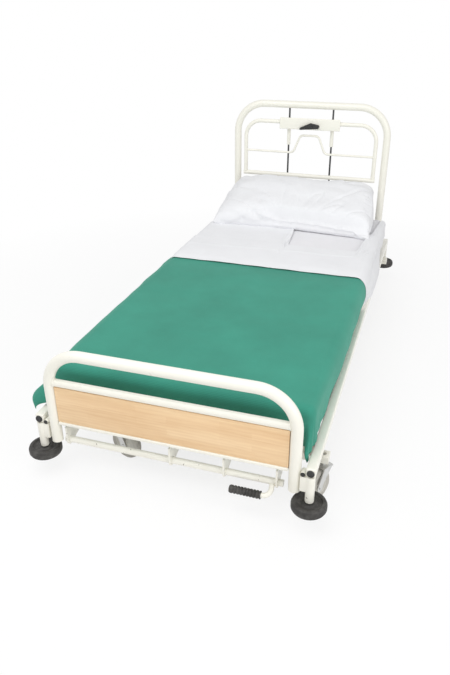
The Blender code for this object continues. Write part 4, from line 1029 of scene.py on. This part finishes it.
def thicken(piece, thick):
    """Give cloth its thickness and a finer surface."""
    wall = piece.modifiers.new("thickness", "SOLIDIFY")
    wall.thickness = thick
    wall.offset = 0.0
    refine(piece)


def smooth(mesh, factor):
    """Soften a form once."""
    bmesh.ops.smooth_vert(mesh, verts=mesh.verts, factor=factor, use_axis_x=True, use_axis_y=True,
                          use_axis_z=True)


def puffed(name, mesh, cell, frames, pressure, growth, cap):
    """A stuffed form: remeshed evenly, filled with air, with its cover a little too large."""
    data = bpy.data.meshes.new(name)
    mesh.to_mesh(data)
    mesh.free()
    piece = bpy.data.objects.new(name, data)
    bpy.context.scene.collection.objects.link(piece)
    even = piece.modifiers.new("even", "REMESH")
    even.mode = "VOXEL"
    even.voxel_size = cell
    graph = bpy.context.evaluated_depsgraph_get()
    piece.data = bpy.data.meshes.new_from_object(piece.evaluated_get(graph))
    piece.modifiers.clear()
    bpy.data.meshes.remove(data)
    if frames:
        cloth = piece.modifiers.new("filling", "CLOTH")
        set_all(cloth.settings, FILLING)
        cloth.settings.uniform_pressure_force = pressure
        cloth.settings.shrink_min = -growth
        cloth.settings.effector_weights.gravity = 0.0
        cloth.collision_settings.use_collision = False
        take_shape(piece, frames, cap)
    mesh = bmesh.new()
    mesh.from_mesh(piece.data)
    bpy.data.objects.remove(piece)
    return mesh


def mattress():
    """The mattress in its bottom sheet: a full foam form with rounded edges."""
    low, high, middle = box_of("mattress")
    mesh = bmesh.new()
    block(mesh, low, high, linen().edge_round, 6)
    bmesh.ops.triangulate(mesh, faces=[face for face in mesh.faces if len(face.verts) > 4])
    mesh = puffed("mattress_raw", mesh, MATTRESS_CELL, MATTRESS_FRAMES, MATTRESS_AIR, MATTRESS_GROWTH,
                  MATTRESS_CAP)
    for vert in mesh.verts:
        x, y, z = vert.co
        if z > middle.z:
            swell = MATTRESS_SWELL * cloud(5.0 * x, 5.0 * y, 3.0)
            pull = MATTRESS_PULL * abs(cloud(9.0 * x + 14.0 * y, 2.5 * y - 3.0 * x, 7.0))
            z = min(z + swell - pull, high.z)
        vert.co = (min(max(x, low.x), high.x), min(max(y, low.y), high.y), max(z, low.z))
    smooth(mesh, 0.35)
    piece = publish("mattress_covered", mesh, "mattress_cover", "bed_frame", ["mattress"])
    return piece


def side_bulge(down):
    """How far the right side of the bedding swells out at a depth below the top."""
    l = linen()
    return l.blanket_bulge * sin(pi * min(down / (l.edge_round + l.blanket_drop), 1.0))


def loose_folds(t, hang, down, turn, near_foot):
    """How far the blanket's loose left side stands off, and the height of its folds."""
    l = linen()
    loose = ease(hang / l.blanket_drop)
    ragged = l.blanket_side * (1.0 + 0.35 * cloud(9.0 * t, 5.0)) * ease(down / RAGGED_DEPTH)
    lift = (l.blanket_flare * near_foot * loose + ragged * (1.0 - 0.6 * near_foot)) * cos(turn)
    fold = LOOSE_FOLD * loose * ripple(t, LOOSE_PITCH, 1.3 * cloud(6 * t, -1.0)) * cos(turn)
    fold += EAR_FOLD * sin(2.0 * turn) * ease(hang / 0.05) * ripple(hang, EAR_PITCH, -0.6)
    return lift, fold


def tucked_folds(t, hang, down, turn, past_foot):
    """How far the blanket's tucked right side swells out, and the height of its folds and gathers."""
    loose = ease(hang / linen().blanket_drop)
    lift = side_bulge(down) * ease(past_foot / BULGE_RUN) * cos(turn)
    gathers = ripple(past_foot, GATHER_PITCH, -7.0 * turn) * ease(1.0 - past_foot / GATHER_RUN)
    fold = (TUCKED_FOLD * ripple(t, TUCKED_PITCH, cloud(5 * t, 3.0)) + GATHER_FOLD * gathers) * loose
    return lift, fold


def blanket_point(s, t, flat_x, flat_y, rest):
    """Where a point of the blanket's cut comes to lie."""
    l = linen()
    loose_side = s <= 0
    ds = max(abs(s) - flat_x, 0.0)
    dt = max(flat_y - t, 0.0)
    distance = hypot(ds, dt)
    turn = atan2(dt, ds) if distance > 0 else 0.0
    corner = sin(2.0 * turn)
    quarter = l.edge_round * pi / 2.0
    slack = LOOSE_SLACK if loose_side else TUCKED_SLACK
    hang = max(distance - quarter, 0.0) * (1.0 - corner * slack)
    out, down = over_edge(min(distance, quarter) + hang, l.edge_round)
    past_foot = t - flat_y
    near_foot = ease(1.0 - past_foot / FOOT_REACH)
    spread = corner * ease((hang - EAR_FROM) / EAR_RUN)
    if loose_side:
        side, ear_x, ear_y, tilt = -1.0, l.blanket_ear * spread, l.blanket_ear * spread, LOOSE_TILT
        lift, fold = loose_folds(t, hang, down, turn, near_foot)
    else:
        side, ear_x, ear_y, tilt = 1.0, 0.0, l.blanket_tuck * spread, 0.0
        lift, fold = tucked_folds(t, hang, down, turn, past_foot)
    pleats = ripple(s, PLEAT_PITCH, 0.8 + cloud(4 * s, 2.0)) * sin(turn)
    pleat = PLEAT_FOLD * ease(hang / l.blanket_drop) * pleats
    x = side * (min(abs(s), flat_x) + (out + ear_x) * cos(turn) + lift + fold)
    y = max(t, flat_y) - (out + ear_y) * sin(turn) - abs(pleat)
    flat = 1.0 - ease(distance / quarter)
    wave = BLANKET_WAVE * (1.0 + cloud(3.1 * s, 2.2 * t, 1.0))
    wave += BLANKET_RUMPLE * (1.0 + cloud(1.2 * s, 11.0 * t, 4.0))
    pulled = max(cloud(16.0 * (s - 0.5 * t), 3.0 * (t + 0.5 * s), 6.0), 0.0)
    drag = BLANKET_DRAG * pulled * ease((s - 0.05) / 0.3) * near_foot
    under_sheet = ease((t - l.sheet_foot + HIDDEN_FROM) / HIDDEN_RUN)
    z = rest + (wave * (1.0 - under_sheet) + drag) * flat - down + tilt * lift
    return x, y, z


def blanket(under):
    """The green blanket on the mattress: tucked in at the right and the foot, loose at the left corner."""
    l = linen()
    bed_low, bed_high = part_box("mattress")
    rest = bed_high.z + BLANKET_LIFT + l.blanket_thick / 2
    flat_x = bed_high.x + l.blanket_gap - l.edge_round
    flat_y = bed_low.y - l.blanket_gap + l.edge_round
    quarter = l.edge_round * pi / 2.0
    reach = flat_x + quarter + l.blanket_drop
    foot = flat_y - quarter - l.blanket_foot_drop
    mesh, cut = flat_cloth((-reach, foot), (reach, l.blanket_head))
    held = {}
    for index, vert in enumerate(mesh.verts):
        s, t = cut[vert]
        vert.co = blanket_point(s, t, flat_x, flat_y, rest)
        beyond = hypot(max(abs(s) - flat_x, 0.0), max(flat_y - t, 0.0))
        if s > flat_x or t < flat_y or beyond < quarter * 0.6:
            held[index] = 1.0
        elif beyond < quarter:
            held[index] = 0.5
    bmesh.ops.recalc_face_normals(mesh, faces=mesh.faces)
    piece = publish("green_blanket_wool", mesh, "green_blanket", "bed_frame", ["green_blanket"])
    settle(piece, under, l.settle_frames, held, BLANKET_CAP)
    thicken(piece, l.blanket_thick)


def sheet_edge(s, flat_x, deep):
    """Where the sheet ends towards the head: under the pillow, in a bay, and along the right hem."""
    l = linen()
    left = 1.0 - ease((s - BAY_LEFT) / BAY_TURN)
    right = ease((s - BAY_RIGHT) / BAY_TURN)
    beside = ease((s - flat_x + BAY_CLEAR) / BAY_TURN)
    return l.sheet_head + (deep - l.sheet_head) * max(left, right) + (l.sheet_side_head - deep) * beside


def sheet_relief(s, t, flat, band):
    """Height of the sheet's band, ridges, wrinkles and crease over the layer under it."""
    ridges = ease(1.0 - abs(s - LEFT_RIDGE) / LEFT_RIDGE_HALF)
    ridges += 2.0 * ease(1.0 - abs(s - RIGHT_RIDGE) / RIGHT_RIDGE_HALF)
    step = linen().sheet_step * (1.0 if band > 0.5 else band)
    wrinkle = SHEET_WAVE * (0.6 + cloud(4.0 * s + 1.5 * t, 7.0 * t, 5.0))
    wrinkle += SHEET_RUMPLE * (1 + cloud(13 * s, 5 * t, 9.0))
    off_crease = abs(t - CREASE_AT - 0.05 * s - 0.012 * cloud(5 * s, 4.0))
    crease = CREASE_HEIGHT * max(0.0, 1.0 - off_crease / CREASE_HALF)
    return step * flat + RIDGE_HEIGHT * ridges * (1.0 - band) + (max(wrinkle, 0.0) + crease) * flat


def sheet_point(s, t, flat_x, rest, edge):
    """Where a point of the sheet's cut comes to lie."""
    l = linen()
    r = l.edge_round + SHEET_OVER
    side = 1.0 if s > 0 else -1.0
    ds = max(abs(s) - flat_x, 0.0)
    quarter = r * pi / 2.0
    out, down = over_edge(ds, r)
    hang = max(ds - quarter, 0.0)
    share = hang / l.sheet_drop
    flat = 1.0 - ease(ds / quarter)
    tucked = ease((t - TUCK_FROM) / TUCK_RUN) if side > 0 else 0.0
    drop = down - (SHEET_SLACK * ease(share) + l.sheet_tuck * tucked) * hang
    from_fold = 0.05 + 0.95 * ease((t - l.sheet_foot) / FLARE_RUN)
    flare = l.sheet_flare * ease(share * 1.25) * (1.0 - 0.70 * tucked) * from_fold
    if side > 0:
        flare += side_bulge(drop)
    fold = SHEET_FOLD * ease(share) * ripple(t, SHEET_PITCH, 1.5 * cloud(7 * t, side, 2.0))
    hug = HUG * ease(3.0 * share) * ease(1.0 - (t - l.sheet_foot) / HUG_RUN)
    x = side * (min(abs(s), flat_x) + out + flare + fold - hug)
    y = t
    bead = -BEAD_DROP * ease(1.0 - (t - l.sheet_foot) / BEAD_RUN)
    if t < l.sheet_foot:
        bent = (l.sheet_foot - t) / UNDER_FOLD
        y = l.sheet_foot + 0.85 * UNDER_FOLD * ease(bent)
        bead -= BEAD_TURN * ease(min(bent * 3.0, 1.0))
    band = 1.0 - ease((t - l.sheet_head + BAND_EDGE) / BAND_RUN)
    past_band = ease((t - l.sheet_head + LOWER_FROM) / LOWER_RUN)
    lower = (l.blanket_thick + LOWER_ROOM) * past_band * (1.0 - ease(share))
    in_bay = flat * (1.0 - ease((edge - l.sheet_head - BAY_FROM) / BAY_RUN))
    rim = RIM_HEIGHT * ease(1.0 - (edge - t) / RIM_RUN) * in_bay
    z = rest + bead + sheet_relief(s, t, flat, band) + rim - drop - lower
    turned_in = in_bay * ease(1.0 - (edge - t) / l.sheet_lip)
    z += (rest - l.sheet_lift - z) * turned_in
    return x, y, z


def turned_sheet(under):
    """The white sheet turned down over the blanket, with a bay that shows the bottom sheet."""
    l = linen()
    bed_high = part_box("mattress")[1]
    r = l.edge_round + SHEET_OVER
    rest = bed_high.z + SHEET_REST + l.blanket_thick + l.sheet_thick
    flat_x = bed_high.x + l.blanket_gap + l.blanket_thick + SHEET_ROOM - r
    quarter = r * pi / 2.0
    reach = flat_x + quarter + l.sheet_drop
    start = l.sheet_foot - UNDER_FOLD
    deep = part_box("pillow")[0].y + UNDER_PILLOW

    def head(s):
        """Where this sheet ends towards the head."""
        return sheet_edge(s, flat_x, deep)

    mesh, cut = flat_cloth((-reach, start), (reach, l.sheet_side_head), head)
    held = {}
    for index, vert in enumerate(mesh.verts):
        s, t = cut[vert]
        vert.co = sheet_point(s, t, flat_x, rest, head(s))
        if abs(s) < flat_x + quarter or t < l.sheet_foot + FOLD_HELD:
            held[index] = 1.0
    bmesh.ops.recalc_face_normals(mesh, faces=mesh.faces)
    piece = publish("turned_sheet_cotton", mesh, "white_cotton", "bed_frame", ["turned_sheet"])
    settle(piece, under, l.settle_frames, held, SHEET_CAP)
    thicken(piece, l.sheet_thick)


def pillow_height(u, v, underneath, floor):
    """Height of the pillow's upper or lower panel at a place on its cut, before it is filled."""
    l = linen()
    full = ((1.0 - u ** 8) * (1.0 - v ** 6)) ** 0.45
    seam = floor + l.pillow_front + (l.pillow_back - l.pillow_front) * ease((v + 1.0) / 2.0)
    if underneath:
        rest = floor + (l.pillow_back - PILLOW_LEAN) * ease((v - 0.35) / 0.9)
        return min(seam, rest + (seam - rest) * (1.0 - min(2.2 * full, 1.0)))
    lip = ease((LIP_FROM - v) / 0.10) * ease((u + 0.45) / 0.3)
    lower_ends = 1.0 - 0.30 * ease(v) - 0.10 * ease((-u - 0.4) / 0.5)
    thick = l.pillow_crown * lower_ends * (1.0 - LIP_FLAT * lip)
    swell = full * (1.0 + 0.10 * cloud(2.2 * u, 2.0 * v, 8.0))
    return seam + thick * swell


def pillow():
    """The pillow: two panels sewn at the edge, higher at the back, with the case's flat lip in front."""
    l = linen()
    low, high, middle = box_of("pillow")
    half_x = (high.x - low.x) / 2 - PILLOW_INSET
    half_y = (high.y - low.y) / 2 - PILLOW_INSET
    mesh = bmesh.new()
    bmesh.ops.create_grid(mesh, x_segments=64, y_segments=36, size=1.0)
    bottom = bmesh.ops.duplicate(mesh, geom=mesh.verts[:] + mesh.edges[:] + mesh.faces[:])["geom"]
    lower = {item for item in bottom if isinstance(item, bmesh.types.BMVert)}
    bmesh.ops.reverse_faces(mesh, faces=[item for item in bottom if isinstance(item, bmesh.types.BMFace)])
    for vert in mesh.verts:
        u, v = vert.co.x, vert.co.y
        z = pillow_height(u, v, vert in lower, low.z)
        pull_x = 1.0 - WAIST_ACROSS * (1.0 - v * v) * u * u - BACK_TAPER * ease((v + 0.3) / 1.3)
        pull_y = 1.0 - WAIST_ALONG * (1.0 - u * u) * v * v
        slip = PILLOW_SLIP * ease((u + 0.3) / 1.2) * ease(-v)
        vert.co = (middle.x + half_x * u * pull_x, middle.y + half_y * v * pull_y - slip, max(z, low.z))
    bmesh.ops.remove_doubles(mesh, verts=mesh.verts, dist=2e-4)
    bmesh.ops.recalc_face_normals(mesh, faces=mesh.faces)
    mesh = puffed("pillow_raw", mesh, PILLOW_CELL, l.puff_frames, l.puff_pressure, PILLOW_GROWTH, l.puff_cap)
    for vert in mesh.verts:
        u = (vert.co.x - middle.x) / half_x
        v = (vert.co.y - middle.y) / half_y
        if vert.co.z > low.z + CREASES_FROM:
            vert.co.z -= pillow_crease(u, v)
        vert.co.z = min(max(vert.co.z, low.z), high.z)
    smooth(mesh, 0.30)
    piece = publish("pillow_cased", mesh, "pillow_cotton", "bed_frame", ["pillow"])
    refine(piece)


def pillow_crease(u, v):
    """Depth of the creases that run from the pillow's front lip and corners."""
    angle = atan2(v + 1.4, 1.6 * u - 0.1)
    away = hypot(v + 1.4, 1.6 * u - 0.1)
    ridge = abs(cloud(4.2 * angle, 0.9 * away, 12.0))
    drawn = PILLOW_CREASE * max(0.0, 1.0 - ridge / 0.13)
    rumple = PILLOW_RUMPLE * cloud(5.0 * u + 1.4 * v, 3.2 * v - 1.2 * u, 21.0)
    return drawn * (0.45 + 0.55 * ease(abs(u))) + rumple


def bedding():
    """The made-up bed: mattress, blanket, turned sheet and pillow."""
    rails = [bpy.data.objects["side_rail_" + side + "_tube"] for side in ("left", "right")]
    under = [mattress()] + rails
    blanket(under)
    turned_sheet(under)
    pillow()


# Stage


def camera():
    """A camera at the photograph's place and angle."""
    stage = bpy.context.scene.bed_stage
    azimuth, elevation, roll = stage.azimuth, stage.elevation, stage.roll
    back = Vector((sin(azimuth) * cos(elevation), -cos(azimuth) * cos(elevation), sin(elevation)))
    right = Vector((cos(azimuth), sin(azimuth), 0.0))
    above = back.cross(right)
    across = cos(roll) * right + sin(roll) * above
    upward = cos(roll) * above - sin(roll) * right
    data = bpy.data.cameras.new("bed_camera")
    data.lens = stage.lens
    data.sensor_width = 36.0
    made = bpy.data.objects.new("bed_camera", data)
    turn = Matrix((across, upward, back)).transposed().to_4x4()
    made.matrix_world = Matrix.Translation(Vector(stage.eye)) @ turn
    bpy.context.scene.collection.objects.link(made)
    bpy.context.scene.camera = made


def soft_light(name, power, size, where, target):
    """A large soft lamp aimed at a point."""
    data = bpy.data.lights.new(name, "AREA")
    data.energy = power
    data.size = size
    lamp = bpy.data.objects.new(name, data)
    where = Vector(where)
    lamp.matrix_world = Matrix.Translation(where) @ facing(where - Vector(target))
    bpy.context.scene.collection.objects.link(lamp)


def seen_ray(tree):
    """1 for rays that see the background straight on, in gloss or through glass."""
    path = put(tree, "LightPath")
    seen = plus(tree, path.outputs["Is Camera Ray"], path.outputs["Is Glossy Ray"])
    return put(tree, "Math", {0: plus(tree, seen, path.outputs["Is Transmission Ray"]), 1: 1.0},
               operation="MINIMUM").outputs[0]


def studio():
    """A pale floor, an even white surround and two soft lamps."""
    scene = bpy.context.scene
    stage = scene.bed_stage
    world = bpy.data.worlds.new("studio")
    world.use_nodes = True
    tree = world.node_tree
    tree.nodes.clear()
    even = put(tree, "Background", {"Color": WHITE, "Strength": stage.sky})
    white = put(tree, "Background", {"Color": WHITE, "Strength": 1.0})
    mixed = put(tree, "MixShader", {0: seen_ray(tree), 1: even.outputs[0], 2: white.outputs[0]})
    put(tree, "OutputWorld", {"Surface": mixed.outputs[0]})
    scene.world = world
    material, tree, shader = blank("pale_floor")
    shader.inputs["Base Color"].default_value = rgba(stage.floor)
    shader.inputs["Roughness"].default_value = 0.9
    glow = put(tree, "Emission", {"Color": WHITE, "Strength": 1.0})
    spread = put(tree, "VectorMath", {0: place(tree)}, operation="LENGTH").outputs["Value"]
    whiter = remap(tree, spread, stage.white_start, stage.white_from, stage.white_near, 1.0)
    share = times(tree, seen_ray(tree), whiter)
    mixed = put(tree, "MixShader", {0: share, 1: shader.outputs[0], 2: glow.outputs[0]})
    tree.links.new(mixed.outputs[0], tree.nodes["Material Output"].inputs["Surface"])
    mesh = bmesh.new()
    bmesh.ops.create_grid(mesh, x_segments=1, y_segments=1, size=stage.floor_size)
    data = bpy.data.meshes.new("floor")
    mesh.to_mesh(data)
    mesh.free()
    data.materials.append(material)
    floor = bpy.data.objects.new("floor", data)
    scene.collection.objects.link(floor)
    soft_light("overhead", stage.key, stage.key_size, stage.key_at, stage.key_aim)
    soft_light("front", stage.fill, stage.fill_size, stage.fill_at, stage.fill_aim)
    scene.view_settings.view_transform = "Standard"


# Operators, panel and registration


def set_stage():
    """The finishes, the camera, the lamps and the floor."""
    make_materials()
    camera()
    studio()


class BedStep:
    """An operator that runs one step of the dressing."""

    def execute(self, context):
        """Run the step."""
        self.work()
        return {"FINISHED"}


class BED_OT_stage(BedStep, Operator):
    """Make the finishes, the camera, the lamps and the floor"""
    bl_idname = "bed.stage"
    bl_label = "Stage"
    work = staticmethod(set_stage)


class BED_OT_foot_end(BedStep, Operator):
    """Model the foot hoop, its rail, the panel and the trim"""
    bl_idname = "bed.foot_end"
    bl_label = "Foot end"
    work = staticmethod(foot_end)


class BED_OT_side_rails(BedStep, Operator):
    """Model the side rails and their plugs"""
    bl_idname = "bed.side_rails"
    bl_label = "Side rails"
    work = staticmethod(side_rails)


class BED_OT_corner_posts(BedStep, Operator):
    """Model the corner posts, bumper rollers and nuts"""
    bl_idname = "bed.corner_posts"
    bl_label = "Corner posts"
    work = staticmethod(corner_posts)


class BED_OT_under_frame(BedStep, Operator):
    """Model the deck, the chassis and the lifting gear"""
    bl_idname = "bed.under_frame"
    bl_label = "Under frame"
    work = staticmethod(deck_and_chassis)


class BED_OT_castors(BedStep, Operator):
    """Model the castors"""
    bl_idname = "bed.castors"
    bl_label = "Castors"
    work = staticmethod(castors)


class BED_OT_pedal(BedStep, Operator):
    """Model the pedal and its grip"""
    bl_idname = "bed.pedal"
    bl_label = "Pedal"
    work = staticmethod(pedal)


class BED_OT_head_end(BedStep, Operator):
    """Model the head hoop, the guide rods and their seat"""
    bl_idname = "bed.head_end"
    bl_label = "Head end"
    work = staticmethod(head_end)


class BED_OT_head_slide(BedStep, Operator):
    """Model the sliding head frame, its cover plate and its lever"""
    bl_idname = "bed.head_slide"
    bl_label = "Sliding head frame"
    work = staticmethod(head_slide)


class BED_OT_bedding(BedStep, Operator):
    """Make up the bed: mattress, blanket, turned sheet and pillow"""
    bl_idname = "bed.bedding"
    bl_label = "Bedding"
    work = staticmethod(bedding)


class BED_PT_panel(Panel):
    """Steps that dress the bed, with its colours and sizes"""
    bl_idname = "BED_PT_panel"
    bl_label = "Hospital Bed"
    bl_space_type = "VIEW_3D"
    bl_region_type = "UI"
    bl_category = "Bed"

    def draw(self, context):
        """List the steps, then every value."""
        column = self.layout.column()
        for step in STEPS:
            column.operator(step.bl_idname)
        for group in GROUPS:
            values = getattr(context.scene, group)
            for name in values.bl_rna.properties.keys():
                if name not in ("rna_type", "name"):
                    column.prop(values, name)


GROUPS = {"bed_paint": BedPaint, "bed_sizes": BedSizes, "bed_linen": BedLinen, "bed_stage": BedStage}
STEPS = (BED_OT_stage, BED_OT_foot_end, BED_OT_side_rails, BED_OT_corner_posts, BED_OT_under_frame,
         BED_OT_castors, BED_OT_pedal, BED_OT_head_end, BED_OT_head_slide, BED_OT_bedding)


def register():
    """Register the property groups, the operators and the panel."""
    for name, group in GROUPS.items():
        bpy.utils.register_class(group)
        setattr(bpy.types.Scene, name, PointerProperty(type=group))
    for step in STEPS:
        bpy.utils.register_class(step)
    bpy.utils.register_class(BED_PT_panel)


def unregister():
    """Take back what register did."""
    bpy.utils.unregister_class(BED_PT_panel)
    for step in reversed(STEPS):
        bpy.utils.unregister_class(step)
    for name, group in GROUPS.items():
        delattr(bpy.types.Scene, name)
        bpy.utils.unregister_class(group)


def main():
    """Dress the bed."""
    register()
    bpy.ops.bed.stage()
    bpy.ops.bed.foot_end()
    bpy.ops.bed.side_rails()
    bpy.ops.bed.corner_posts()
    bpy.ops.bed.under_frame()
    bpy.ops.bed.castors()
    bpy.ops.bed.pedal()
    bpy.ops.bed.head_end()
    bpy.ops.bed.head_slide()
    bpy.ops.bed.bedding()


if __name__ == "__main__":
    main()
